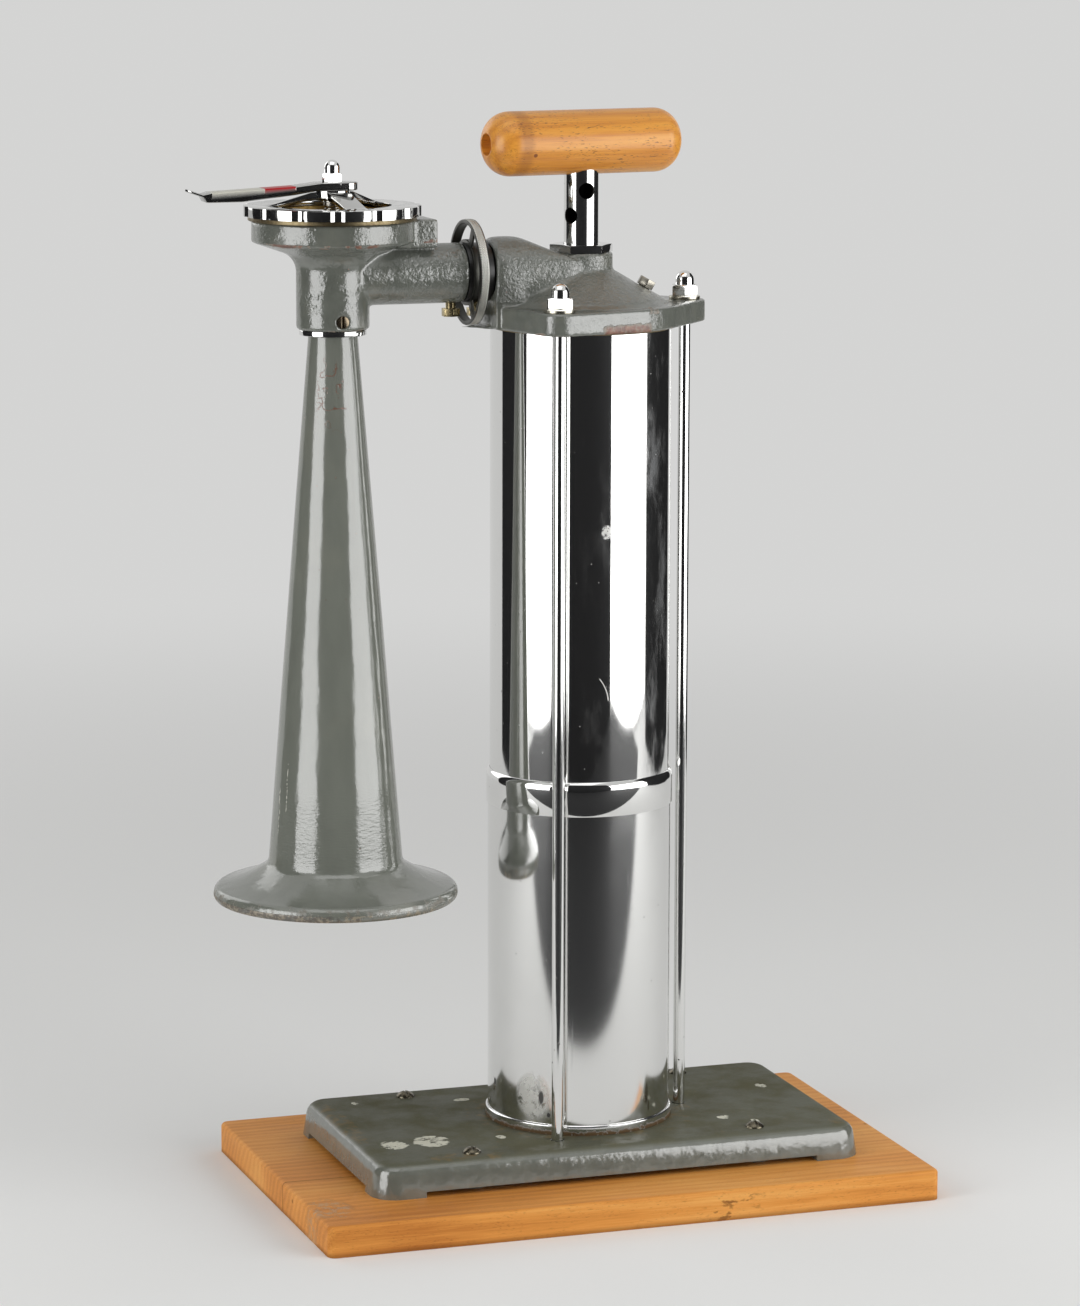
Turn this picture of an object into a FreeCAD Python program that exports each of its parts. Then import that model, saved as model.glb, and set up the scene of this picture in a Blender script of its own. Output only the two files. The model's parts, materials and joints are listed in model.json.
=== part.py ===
# Hand-pumped ship's fog horn: a wooden board carries a cast base, a two-piece pump tube, a cast
# head with an elbow, and a horn head that swings on the elbow above a long trumpet.
# The origin is on the floor under the tube's axis. +Z is up, the board's long side and the
# horn's arm lie along X, and the horn hangs on the -X side. All sizes are in millimetres.
import FreeCAD, Part
import Sketcher
import os

SIZES = [
    ("board_length", 442, "wooden board, along X"),
    ("board_width", 281, "wooden board, along Y"),
    ("board_thickness", 21.5, "wooden board"),
    ("board_shift_x", -5, "board centre from the tube axis"),
    ("board_shift_y", -5, "board centre from the tube axis"),
    ("board_corner_round", 6, "upright edges of the board"),
    ("board_edge_round", 3, "long edges of the board"),
    ("plate_length", 357, "foot of the cast base, along X"),
    ("plate_width", 197, "foot of the cast base, along Y"),
    ("plate_height", 23, "cast base with its feet"),
    ("plate_corner_round", 18.5, "corners of the base's foot"),
    ("plate_edge_round", 9, "upper edge of the base"),
    ("plate_draft", 9, "lean of the base's sides, degrees"),
    ("foot_height", 4, "gap between the feet"),
    ("foot_length", 35.5, "corner foot, along X"),
    ("foot_width", 29, "corner foot, along Y"),
    ("screw_boss_radius", 11, "pad under each base screw"),
    ("screw_x", 104, "base screws from the tube axis"),
    ("screw_y", 77, "base screws from the tube axis"),
    ("screw_head_radius", 6.6, "base screws"),
    ("screw_head_height", 4, "base screws"),
    ("screw_shank_radius", 2.8, "base screws"),
    ("screw_depth", 13, "base screws in the board"),
    ("screw_tip_length", 5, "pointed end of the base screws"),
    ("slot_width", 1.6, "screwdriver slots"),
    ("slot_depth", 1.8, "screwdriver slots"),
    ("fit", 0.05, "radial clearance of fitted rounds"),
    ("hole_clearance", 0.4, "radial clearance of bolt holes"),
    ("running_fit", 0.08, "radial clearance of turning and sliding rounds"),
    ("soft_gap", 0.3, "between a soft moving piece and its neighbour"),
    ("bore_radius", 60.6, "inside of both pump tubes"),
    ("lower_tube_radius", 63.9, "outside of the lower tube"),
    ("upper_tube_radius", 62.6, "outside of the upper tube"),
    ("lower_tube_length", 236.5, "lower tube above the base"),
    ("barrel_length", 558.5, "from the base to the head"),
    ("seat_depth", 4.5, "groove in the base for the tube"),
    ("gasket_thickness", 1.5, "flat gaskets"),
    ("foot_ring_radius", 65.4, "ring round the foot of the tube"),
    ("foot_ring_height", 7.1, "ring round the foot of the tube"),
    ("foot_ring_bevel", 0.8, "ring round the foot of the tube"),
    ("collar_radius", 65, "collar at the tube joint"),
    ("collar_below", 11, "collar below the joint"),
    ("collar_above", 13, "collar above the joint"),
    ("collar_bead", 5.5, "rounded upper edge of the collar"),
    ("joint_seal_height", 2, "seal between the tubes"),
    ("rod_circle", 76, "tie rods from the tube axis"),
    ("tie_rod_radius", 4.2, "shank of the tie rods"),
    ("tie_thread_radius", 5, "threaded ends of the tie rods"),
    ("tie_thread_depth", 15, "tie rods in the base"),
    ("washer_radius", 10.8, "under the tie rod nuts"),
    ("washer_thickness", 2, "under the tie rod nuts"),
    ("tie_nut_flats", 17, "tie rod nuts, across flats"),
    ("tie_nut_hex_height", 8, "tie rod nuts"),
    ("tie_nut_dome_radius", 6.5, "tie rod nuts"),
    ("tie_nut_height", 17.5, "tie rod nuts"),
    ("nut_roof", 2.5, "above the bore of domed nuts"),
    ("flange_radius", 70, "round part of the head flange"),
    ("flange_thickness", 15.5, "head flange"),
    ("lug_radius", 14.2, "lugs round the tie rods"),
    ("cone_radius", 61.5, "foot of the head's cone"),
    ("cone_height", 22.5, "head's cone"),
    ("neck_radius", 21.7, "neck of the head"),
    ("neck_height", 12, "neck of the head"),
    ("head_wall", 6, "wall of the head casting"),
    ("outlet_height", 38, "elbow axis above the flange underside"),
    ("outlet_radius", 24.3, "outside of the elbow"),
    ("outlet_bore", 17.5, "inside of the elbow"),
    ("outlet_reach", 69, "elbow end from the tube axis"),
    ("elbow_straight", 48, "start of the elbow's dome from the tube axis"),
    ("elbow_nose_from", 16, "start of the dome's round nose from the tube axis"),
    ("elbow_tip", 6, "point of the nose beyond the tube axis"),
    ("elbow_slope", 23.5, "slope of the dome's crest, degrees"),
    ("elbow_chamber", 44, "round end of the elbow's passage from the tube axis, to its centre"),
    ("port_radius", 13, "passage from the head chamber to the elbow"),
    ("tongue_reach", 87, "tongue of the flange under the elbow"),
    ("tongue_thickness", 1.8, "tongue of the flange under the elbow"),
    ("tongue_width", 48, "tongue of the flange under the elbow"),
    ("tongue_tip", 12, "rounded end of the tongue"),
    ("bush_seat", 9, "guide bush in the neck"),
    ("bush_length", 64, "guide bush, its lower end stops the piston"),
    ("bush_radius", 15.5, "guide bush in the neck"),
    ("packing_radius", 17, "gland packing"),
    ("packing_height", 5, "gland packing"),
    ("gland_flats", 38, "gland nut, across flats"),
    ("gland_height", 5.6, "gland nut above the neck"),
    ("gland_bevel", 0.6, "upper corners of the gland nut"),
    ("gland_turn", -9, "gland nut corner from +X, degrees"),
    ("plug_flats", 11, "oil plug, across flats"),
    ("plug_height", 6, "oil plug above the cone"),
    ("plug_shank", 4, "radius of the oil plug thread"),
    ("plug_angle", -10, "oil plug from +X, degrees"),
    ("plug_radius_at", 44, "oil plug from the tube axis"),
    ("plug_depth", 7, "oil plug thread in the cone"),
    ("rod_radius", 12, "outside of the piston rod"),
    ("rod_bore", 8.5, "inside of the piston rod"),
    ("rod_step_radius", 10, "piston rod inside the piston"),
    ("piston_rest", 17.5, "underside of the piston nut above the base"),
    ("piston_nut_height", 8, "nut under the piston"),
    ("piston_nut_flats", 30, "nut under the piston, across flats"),
    ("piston_thickness", 10, "piston disc"),
    ("piston_gap", 1.4, "piston disc to the tube, radial"),
    ("leather_thickness", 3, "cup leather"),
    ("leather_height", 16, "cup leather"),
    ("retainer_thickness", 3, "plate in the cup leather"),
    ("buffer_radius", 24, "buffer under the piston"),
    ("handle_rise", 125, "handle axis above the head's underside"),
    ("handle_yaw", 8, "handle out of line with the board, degrees"),
    ("handle_length", 145, "wooden handle"),
    ("handle_radius", 22, "wooden handle"),
    ("handle_end_round", 18, "ends of the handle"),
    ("handle_end_reach", 17.4, "rounded part of the handle's ends"),
    ("handle_end_face", 8.6, "flat end face of the handle"),
    ("socket_above", 13, "rod above the handle axis"),
    ("counterbore_radius", 7.6, "in the ends of the handle"),
    ("counterbore_depth", 7, "in the ends of the handle"),
    ("pin_radius", 3.5, "pin along the handle"),
    ("pin_proud", 1, "pin ends in the counterbores"),
    ("air_hole_radius", 5.6, "air holes in the piston rod"),
    ("air_hole_drop", 32.8, "upper air hole below the handle axis"),
    ("air_hole_step", 17, "between the air holes"),
    ("air_hole_face", -8, "upper air hole from the handle's side, degrees"),
    ("air_hole_turn", -60, "lower air hole round from the upper one, degrees"),
    ("sleeve_radius", 20.2, "swivel sleeve outside the elbow"),
    ("sleeve_spigot", 15.9, "swivel sleeve inside the arm"),
    ("sleeve_bore", 12, "swivel sleeve"),
    ("sleeve_inner_length", 16, "swivel sleeve inside the elbow"),
    ("sleeve_outer_length", 17.3, "swivel sleeve in view"),
    ("sleeve_spigot_length", 42, "swivel sleeve inside the arm"),
    ("swivel_seal_width", 3.4, "seal ring on the sleeve"),
    ("swivel_seal_depth", 2, "seal ring on the sleeve"),
    ("swivel_seal_at", 12, "seal ring from the sleeve end"),
    ("wheel_radius", 35.8, "knurled lock wheel"),
    ("wheel_rim", 2.4, "knurled lock wheel"),
    ("wheel_width", 6.4, "knurled lock wheel"),
    ("wheel_web", 1.5, "spokes of the lock wheel"),
    ("wheel_hub_radius", 22.5, "hub of the lock wheel"),
    ("wheel_hub", 3.2, "hub of the lock wheel"),
    ("wheel_setback", 2.3, "lock wheel from the arm end"),
    ("wheel_spoke_width", 6, "spokes of the lock wheel"),
    ("clamp_bolt_radius", 3.5, "clamp bolts"),
    ("clamp_bolt_flats", 11, "clamp bolts, across flats"),
    ("clamp_bolt_head", 5.5, "clamp bolts"),
    ("clamp_bolt_drop", 24.1, "top of the bolt heads below the arm axis"),
    ("bolt_tip_drop", 16.4, "tips of the clamp bolts below the arm axis"),
    ("arm_bolt_at", 7.7, "arm bolt from the arm end"),
    ("sleeve_bolt_from", 7.2, "sleeve bolt from the elbow end"),
    ("horn_reach", 177.5, "horn axis from the tube axis"),
    ("arm_radius", 20.4, "arm of the horn head"),
    ("arm_end", 91.2, "arm end from the horn axis"),
    ("arm_bore", 13, "arm beyond the sleeve"),
    ("horn_neck_radius", 24.8, "neck of the horn head"),
    ("horn_neck_drop", 35.8, "neck end below the arm axis"),
    ("horn_neck_top", 3.3, "start of the flare above the arm axis"),
    ("disc_radius", 54.7, "diaphragm housing"),
    ("disc_low", 23.6, "housing rim above the arm axis"),
    ("disc_top", 38.1, "housing top above the arm axis"),
    ("disc_fillet", 14, "between neck and housing"),
    ("disc_fillet_reach", 9.4, "across the fillet"),
    ("disc_fillet_rise", 13.2, "height of the fillet"),
    ("ear_reach", 68.7, "block on the housing, from the horn axis"),
    ("ear_width", 38, "block on the housing"),
    ("ear_low", 19, "block on the housing above the arm axis"),
    ("ear_start", 22, "inner end of the block from the horn axis"),
    ("chamber_radius", 17, "air chamber in the neck"),
    ("chamber_low", 20, "air chamber floor below the arm axis"),
    ("drum_radius", 38, "air chamber under the diaphragm"),
    ("drum_low", 27, "air chamber under the diaphragm"),
    ("drum_high", 35, "diaphragm ledge above the arm axis"),
    ("collar_in", 44, "threaded rim of the housing, inside"),
    ("collar_out", 49, "threaded rim of the housing, outside"),
    ("collar_rise", 6.4, "threaded rim above the housing"),
    ("diaphragm_thickness", 0.6, "steel diaphragm"),
    ("thin_gasket", 1, "gasket under the diaphragm"),
    ("nozzle_radius", 10.5, "nozzle tube"),
    ("nozzle_bore", 8.5, "nozzle tube"),
    ("nozzle_foot", 15.9, "foot of the nozzle tube"),
    ("nozzle_foot_height", 4, "foot of the nozzle tube"),
    ("nozzle_shelf_drop", 23.8, "shelf over the nozzle foot below the arm axis"),
    ("nozzle_top_gap", 0.05, "nozzle to the diaphragm"),
    ("cap_ring_radius", 57, "brass ring under the cover wheel"),
    ("cap_ring_height", 2.9, "brass ring under the cover wheel"),
    ("cover_radius", 60, "cover wheel"),
    ("cover_height", 6.8, "rim of the cover wheel"),
    ("cover_web", 2.9, "web of the cover wheel"),
    ("cover_window", 40, "inside of the cover wheel's web"),
    ("flute_count", 14, "finger flutes of the cover wheel"),
    ("flute_radius", 7, "finger flutes of the cover wheel"),
    ("flute_depth", 2, "finger flutes of the cover wheel"),
    ("spoke_width", 15, "arched spokes of the cover wheel"),
    ("spoke_start", 8, "arched spokes from the horn axis"),
    ("spoke_crest", 13.6, "start of a spoke's slope from the horn axis"),
    ("spoke_crest_drop", 1.4, "start of a spoke's slope below the hub top"),
    ("spoke_bend_at", 36.3, "end of a spoke's slope from the horn axis"),
    ("spoke_bend_rise", 1.35, "end of a spoke's slope above the rim"),
    ("spoke_bend", 28.5, "bend at the end of a spoke's slope"),
    ("spoke_level", 45, "start of a spoke's level end from the horn axis"),
    ("spoke_end", 50, "outer end of the spokes from the horn axis"),
    ("spoke_haunch", 24, "bend under a spoke from the horn axis"),
    ("spoke_haunch_drop", 8.6, "bend under a spoke below the hub top"),
    ("spoke_foot", 38, "foot of a spoke from the horn axis"),
    ("spoke_depth", 2.7, "level end of the spokes"),
    ("spoke_turn", -83, "first spoke from +X, degrees"),
    ("hub_radius", 12, "hub of the cover wheel"),
    ("hub_low", 51.5, "hub underside above the arm axis"),
    ("hub_top", 57.9, "hub top above the arm axis"),
    ("spindle_radius", 4, "adjusting spindle"),
    ("spindle_collar", 6, "adjusting spindle below the hub"),
    ("spindle_collar_height", 3.9, "adjusting spindle below the hub"),
    ("pad_radius", 12, "pressure pad on the diaphragm"),
    ("pad_thickness", 2.4, "pressure pad on the diaphragm"),
    ("spring_radius", 4.6, "spring under the spindle, to the middle of its wire"),
    ("spring_wire", 0.7, "radius of the spring wire"),
    ("spring_turns", 3, "spring under the spindle"),
    ("lever_thickness", 5.4, "lever at its hub"),
    ("lever_hub", 8.5, "half the lever's width at its hub"),
    ("lever_half_width", 7.5, "half the lever's width at its end"),
    ("lever_round_at", 9, "centre of the lever's round end from the horn axis"),
    ("lever_flat", 10, "flat top of the lever's hub from the horn axis"),
    ("lever_shoulder", 28, "foot of the hub's slope from the horn axis"),
    ("lever_shoulder_drop", 2.1, "lever's top there below its hub"),
    ("lever_neck_drop", 2.3, "lever's underside there below its hub"),
    ("lever_belly", 65, "lowest part of the lever from the horn axis"),
    ("lever_belly_drop", 6.2, "lowest part of the lever below its hub's underside"),
    ("lever_dip", 86, "end of the lever's straight top from the horn axis"),
    ("lever_dip_drop", 5, "lever's top there below its hub"),
    ("lever_root", 91, "root of the turned-up tip from the horn axis"),
    ("lever_root_drop", 6.2, "tip's top there below the lever's hub"),
    ("lever_tip", 102, "turned-up tip of the lever"),
    ("lever_tip_drop", 2.4, "tip's top below the lever's hub"),
    ("lever_tip_thickness", 1.8, "turned-up tip of the lever"),
    ("lever_tip_half_width", 5.5, "tip of the lever, before its round end"),
    ("lever_tip_round", 7, "round end of the lever's tip"),
    ("lever_nut_flats", 13, "lever nut, across flats"),
    ("lever_nut_hex_height", 6.2, "lever nut"),
    ("lever_nut_dome_radius", 5.3, "lever nut"),
    ("lever_nut_height", 15, "lever nut"),
    ("throat_ring_radius", 23, "ring under the neck"),
    ("throat_ring_height", 3.5, "ring under the neck"),
    ("spigot_radius", 15.9, "top of the trumpet"),
    ("trumpet_top", 16.7, "trumpet radius under the ring"),
    ("trumpet_end", 45.9, "trumpet radius above the flare"),
    ("trumpet_length", 360.5, "straight part of the trumpet"),
    ("trumpet_wall", 1.5, "trumpet"),
    ("flare_turn", 8.3, "first bend of the flare"),
    ("flare_sweep", 95, "second bend of the flare"),
    ("flare_knee_radius", 50, "trumpet radius at the knee"),
    ("flare_knee_drop", 6, "knee below the straight part"),
    ("flare_drop", 18.6, "rolled edge's start below the straight part"),
    ("knee_inward", 0.8, "inner knee inside the outer one"),
    ("knee_down", 1.3, "inner knee below the outer one"),
    ("bell_radius", 84, "edge of the flared sheet"),
    ("roll_width", 5.3, "start of the rolled edge inside its end"),
    ("roll_drop", 5.2, "height of the rolled edge"),
    ("rim_height", 4.7, "bell rim below the flared sheet"),
    ("rim_wall", 3, "bell rim"),
    ("rim_taper", 1.8, "bell rim"),
    ("rim_bow", 4.4, "outside of the bell rim"),
    ("rim_tongue", 1.6, "bell rim inside the rolled edge"),
    ("grub_radius", 4.2, "grub screw in the neck"),
    ("grub_height", 6.6, "grub screw above the neck's end"),
]

doc = FreeCAD.newDocument("fog_horn")
sheet = doc.addObject("Spreadsheet::Sheet", "dim")
for row, (alias, number, note) in enumerate(SIZES, 1):
    sheet.set(f"A{row}", note)
    sheet.set(f"B{row}", str(number))
    sheet.setAlias(f"B{row}", alias)
doc.recompute()

# Levels above the floor and places along X, as expressions on the sheet
PLATE_TOP = "(dim.board_thickness + dim.plate_height)"
HEAD_LOW = f"({PLATE_TOP} + dim.barrel_length)"
NECK_TOP = f"({HEAD_LOW} + dim.flange_thickness + dim.cone_height + dim.neck_height)"
ARM_AXIS = f"({HEAD_LOW} + dim.outlet_height)"
PISTON_LOW = f"({PLATE_TOP} + dim.piston_rest + dim.piston_nut_height + dim.running_fit / 2)"
HORN_X = "(0 - dim.horn_reach)"
ELBOW_X = "(0 - dim.outlet_reach)"
ARM_END_X = "(0 - dim.outlet_reach - dim.sleeve_outer_length)"
HANDLE_AXIS = f"({HEAD_LOW} + dim.handle_rise)"
CONE_TILT = "atan(dim.cone_height / (dim.cone_radius - dim.neck_radius))"


def value(text):
    """The number that an expression on the sheet gives."""
    return float(sheet.evalExpression(text))


def piece(name, across="0", deep="0", up="0"):
    """An empty body for one node, with its own origin tied to expressions."""
    body = doc.addObject("PartDesign::Body", name)
    body.Label = name
    body.AllowCompound = True
    for axis, text in zip("xyz", (across, deep, up)):
        body.setExpression(f"Placement.Base.{axis}", text)
    return body


def datum(body, role):
    """One of the body's own origin planes or axes."""
    return next(item for item in body.Origin.OriginFeatures if item.Role == role)


def new_sketch(body, role, shift=("0", "0", "0"), turn="0", about=(0, 0, 1)):
    """An empty sketch on an origin plane, shifted along its own axes and turned about one of them."""
    sketch = body.newObject("Sketcher::SketchObject", f"{body.Name}_sketch")
    sketch.AttachmentSupport = [(datum(body, role), "")]
    sketch.MapMode = "FlatFace"
    spin = FreeCAD.Rotation(FreeCAD.Vector(*about), 1)
    sketch.AttachmentOffset = FreeCAD.Placement(FreeCAD.Vector(), spin)
    for axis, text in zip("xyz", shift):
        sketch.setExpression(f"AttachmentOffset.Base.{axis}", text)
    sketch.setExpression("AttachmentOffset.Rotation.Angle", turn)
    return sketch


def tie(sketch, kind, places, text):
    """A sketch dimension that follows an expression."""
    row = sketch.addConstraint(Sketcher.Constraint(kind, *places, value(text)))
    sketch.setExpression(f"Constraints[{row}]", text)


def bent_edge(start, end, radius):
    """An arc from start to end that bows to the right of the way, with a negative radius to the left."""
    along = end - start
    side = FreeCAD.Vector(along.y, -along.x, 0).normalize() * (1 if radius > 0 else -1)
    half = along.Length / 2
    rise = abs(radius) - max(radius * radius - half * half, 0) ** 0.5
    return Part.Arc(start, (start + end) / 2 + side * rise, end)


def outline(body, role, points, shift=("0", "0", "0"), turn="0", about=(0, 0, 1)):
    """A closed outline through points (across, up). A third entry is the radius of the arc that ends there."""
    sketch = new_sketch(body, role, shift, turn, about)
    spots = [FreeCAD.Vector(value(point[0]), value(point[1]), 0) for point in points]
    ends = []
    for index, point in enumerate(points):
        start, end = spots[index - 1], spots[index]
        radius = value(point[2]) if len(point) == 3 else 0
        edge = bent_edge(start, end, radius) if radius else Part.LineSegment(start, end)
        sketch.addGeometry(edge, False)
        ends.append((2, 1) if radius < 0 else (1, 2))
    for index, point in enumerate(points):
        after = (index + 1) % len(points)
        last = ends[index][1]
        sketch.addConstraint(Sketcher.Constraint("Coincident", index, last, after, ends[after][0]))
        tie(sketch, "DistanceX", (-1, 1, index, last), point[0])
        tie(sketch, "DistanceY", (-1, 1, index, last), point[1])
        if len(point) == 3:
            tie(sketch, "Radius", (index,), f"abs({point[2]})")
    return sketch


def rounds(body, role, circles, shift=("0", "0", "0"), turn="0", about=(0, 0, 1)):
    """Circles (across, up, radius) on an origin plane."""
    sketch = new_sketch(body, role, shift, turn, about)
    for index, (across, up, radius) in enumerate(circles):
        centre = FreeCAD.Vector(value(across), value(up), 0)
        sketch.addGeometry(Part.Circle(centre, FreeCAD.Vector(0, 0, 1), value(radius)), False)
        tie(sketch, "DistanceX", (-1, 1, index, 3), across)
        tie(sketch, "DistanceY", (-1, 1, index, 3), up)
        tie(sketch, "Radius", (index,), radius)
    return sketch


def hexagon(body, flats, shift=("0", "0", "0"), turn="0"):
    """A level regular hexagon of a given width across flats, with a corner on the sketch's X axis."""
    corner = f"{flats} / sqrt(3)"
    points = [(f"{corner} * cos({60 * step})", f"{corner} * sin({60 * step})") for step in range(6)]
    return outline(body, "XY_Plane", points, shift, turn)


def rectangle(body, role, low, high, shift=("0", "0", "0"), turn="0", about=(0, 0, 1)):
    """A rectangle between two corners."""
    corners = [low, (high[0], low[1]), high, (low[0], high[1])]
    return outline(body, role, corners, shift, turn, about)


def feature(body, kind, sketch, **settings):
    """A sketch-based feature. Sizes given as text become expressions."""
    made = body.newObject(f"PartDesign::{kind}", f"{body.Name}_{kind.lower()}")
    made.Profile = sketch
    for name, setting in settings.items():
        if isinstance(setting, str) and name not in ("SideType", "Mode"):
            made.setExpression(name, setting)
        else:
            setattr(made, name, setting)
    return made


def pad(body, sketch, length, **settings):
    """The sketch drawn out along its normal."""
    return feature(body, "Pad", sketch, Length=length, **settings)


def slab(body, sketch, width):
    """The sketch drawn out evenly to both sides."""
    return pad(body, sketch, width, SideType="Symmetric")


def cut(body, sketch, depth, **settings):
    """A pocket against the sketch's normal."""
    return feature(body, "Pocket", sketch, Length=depth, **settings)


def cut_through(body, sketch, depth):
    """A pocket that runs the same depth to both sides."""
    return cut(body, sketch, f"2 * ({depth})", SideType="Symmetric")


def turned(body, sketch, kind="Revolution", axis="V_Axis"):
    """The sketch swept round its own upright or level axis, as metal or as a groove."""
    return feature(body, kind, sketch, ReferenceAxis=(sketch, [axis]), Angle=360)


def ring(body, inner, outer, low, high, kind="Revolution", shift=("0", "0", "0")):
    """A plain ring about an upright axis."""
    return turned(body, rectangle(body, "XZ_Plane", (inner, low), (outer, high), shift), kind)


def level_ring(body, inner, outer, near, far, kind="Revolution"):
    """A plain ring about the X axis."""
    return turned(body, rectangle(body, "XZ_Plane", (near, inner), (far, outer)), kind, "H_Axis")


def repeat(body, originals, count, axis="Z_Axis"):
    """The same features again at even angles round an axis of the body."""
    pattern = body.newObject("PartDesign::PolarPattern", f"{body.Name}_pattern")
    pattern.Originals = originals
    pattern.Axis = (datum(body, axis), [""])
    pattern.Angle = 360
    pattern.setExpression("Occurrences", count)
    body.Tip = pattern
    return pattern


def soften(body, test, radius, kind="Fillet"):
    """Rounds or bevels the edges that pass a test."""
    doc.recompute()
    base = body.Tip
    names = [f"Edge{number}" for number, edge in enumerate(base.Shape.Edges, 1) if test(edge)]
    if not names:
        raise RuntimeError(f"{body.Label} has no edge to soften")
    made = body.newObject(f"PartDesign::{kind}", f"{body.Name}_{kind.lower()}")
    made.Base = (base, names)
    made.setExpression("Radius" if kind == "Fillet" else "Size", radius)
    body.Tip = made
    return made


def upright(edge):
    """A straight edge along Z."""
    return edge.BoundBox.XLength < 0.01 and edge.BoundBox.YLength < 0.01


def flat_at(level, radius=None):
    """A test for edges that lie level at a height of the body, if asked only circles of one radius."""
    height = value(level)

    def test(edge):
        box = edge.BoundBox
        level_edge = abs(box.ZMin - height) < 0.01 and abs(box.ZMax - height) < 0.01
        return level_edge and (radius is None or abs(box.XLength / 2 - value(radius)) < 0.05)
    return test


def plain_ring(name, inner, outer, low, high, across="0", up="0"):
    """A node that is one plain ring about an upright axis."""
    body = piece(name, across, "0", up)
    ring(body, inner, outer, low, high)
    return body


def around(radius, size):
    """Circles at the tie rods."""
    return [(f"{radius} * cos({120 * step})", f"{radius} * sin({120 * step})", size) for step in range(3)]


def at_screws(size):
    """Circles at the four base screws."""
    return [(f"{a} * dim.screw_x", f"{b} * dim.screw_y", size) for a in (-1, 1) for b in (-1, 1)]


# Board and base

def wooden_board():
    body = piece("wooden_board", "dim.board_shift_x", "dim.board_shift_y")
    half_x, half_y = "dim.board_length / 2", "dim.board_width / 2"
    pad(body, rectangle(body, "XY_Plane", (f"-{half_x}", f"-{half_y}"), (half_x, half_y)), "dim.board_thickness")
    soften(body, upright, "dim.board_corner_round")
    soften(body, flat_at("dim.board_thickness"), "dim.board_edge_round")
    level = ("-dim.board_shift_x", "-dim.board_shift_y", "dim.board_thickness")
    holes = rounds(body, "XY_Plane", at_screws("dim.screw_shank_radius + dim.fit"), level)
    cut(body, holes, "dim.screw_depth + 1")
    return body


def base_plate():
    body = piece("base_plate", up="dim.board_thickness")
    half_x, half_y, bend = "(dim.plate_length / 2)", "(dim.plate_width / 2)", "dim.plate_corner_round"
    near_x, near_y = f"{half_x} - {bend}", f"{half_y} - {bend}"
    plan = [(f"-({near_x})", f"-{half_y}"), (near_x, f"-{half_y}"), (half_x, f"-({near_y})", bend), (half_x, near_y),
            (near_x, half_y, bend), (f"-({near_x})", half_y), (f"-{half_x}", near_y, bend),
            (f"-{half_x}", f"-({near_y})")]
    plan[0] += (bend,)
    pad(body, outline(body, "XY_Plane", plan), "dim.plate_height", TaperAngle="0 - dim.plate_draft")
    soften(body, flat_at("dim.plate_height"), "dim.plate_edge_round")
    inner_x, inner_y = f"({half_x} - dim.foot_length)", f"({half_y} - dim.foot_width)"
    past_x, past_y = f"({half_x} + 5)", f"({half_y} + 5)"
    for wide, deep in ((inner_x, past_y), (past_x, inner_y)):
        cut_through(body, rectangle(body, "XY_Plane", (f"-{wide}", f"-{deep}"), (wide, deep)), "dim.foot_height")
    pad(body, rounds(body, "XY_Plane", at_screws("dim.screw_boss_radius")), "dim.foot_height")
    clear = "dim.screw_shank_radius + dim.hole_clearance"
    cut_through(body, rounds(body, "XY_Plane", at_screws(clear)), "dim.plate_height + 1")
    seat, above = "dim.plate_height - dim.seat_depth", "dim.plate_height + 1"
    ring(body, "dim.bore_radius - 1", "dim.lower_tube_radius + dim.fit", seat, above, "Groove")
    sockets = around("dim.rod_circle", "dim.tie_thread_radius + dim.fit")
    cut(body, rounds(body, "XY_Plane", sockets, ("0", "0", "dim.plate_height")), "dim.tie_thread_depth + 1")
    return body


def base_screws():
    body = piece("base_screws", up=PLATE_TOP)
    head, crown, shank = "dim.screw_head_radius", "dim.screw_head_height", "dim.screw_shank_radius"
    length = "(dim.plate_height + dim.screw_depth)"
    dome = f"({head} ^ 2 + {crown} ^ 2) / (2 * {crown})"
    points = [("0", f"-{length}"), (shank, f"-{length} + dim.screw_tip_length"), (shank, "0"), (head, "0"),
              ("0", crown, dome)]
    half = "dim.slot_width / 2"
    for side_x in (-1, 1):
        for side_y in (-1, 1):
            shift = (f"{side_x} * dim.screw_x", "0", f"{-side_y} * dim.screw_y")
            turned(body, outline(body, "XZ_Plane", points, shift))
            slot = ((f"-{half}", f"{crown} - dim.slot_depth"), (half, f"{crown} + 1"))
            cut_through(body, rectangle(body, "XZ_Plane", *slot, shift), f"{head} + 1")
    return body


# Barrel and tie rods

def tube_foot_gasket():
    low = "-dim.seat_depth"
    return plain_ring("tube_foot_gasket", "dim.bore_radius", "dim.lower_tube_radius", low,
                      f"{low} + dim.gasket_thickness", up=PLATE_TOP)


def lower_tube():
    return plain_ring("lower_tube", "dim.bore_radius", "dim.lower_tube_radius",
                      "dim.gasket_thickness - dim.seat_depth", "dim.lower_tube_length", up=PLATE_TOP)


def tube_foot_ring():
    body = plain_ring("tube_foot_ring", "dim.lower_tube_radius + dim.fit", "dim.foot_ring_radius", "0",
                      "dim.foot_ring_height", up=PLATE_TOP)
    soften(body, flat_at("dim.foot_ring_height", "dim.foot_ring_radius"), "dim.foot_ring_bevel", "Chamfer")
    return body


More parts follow.
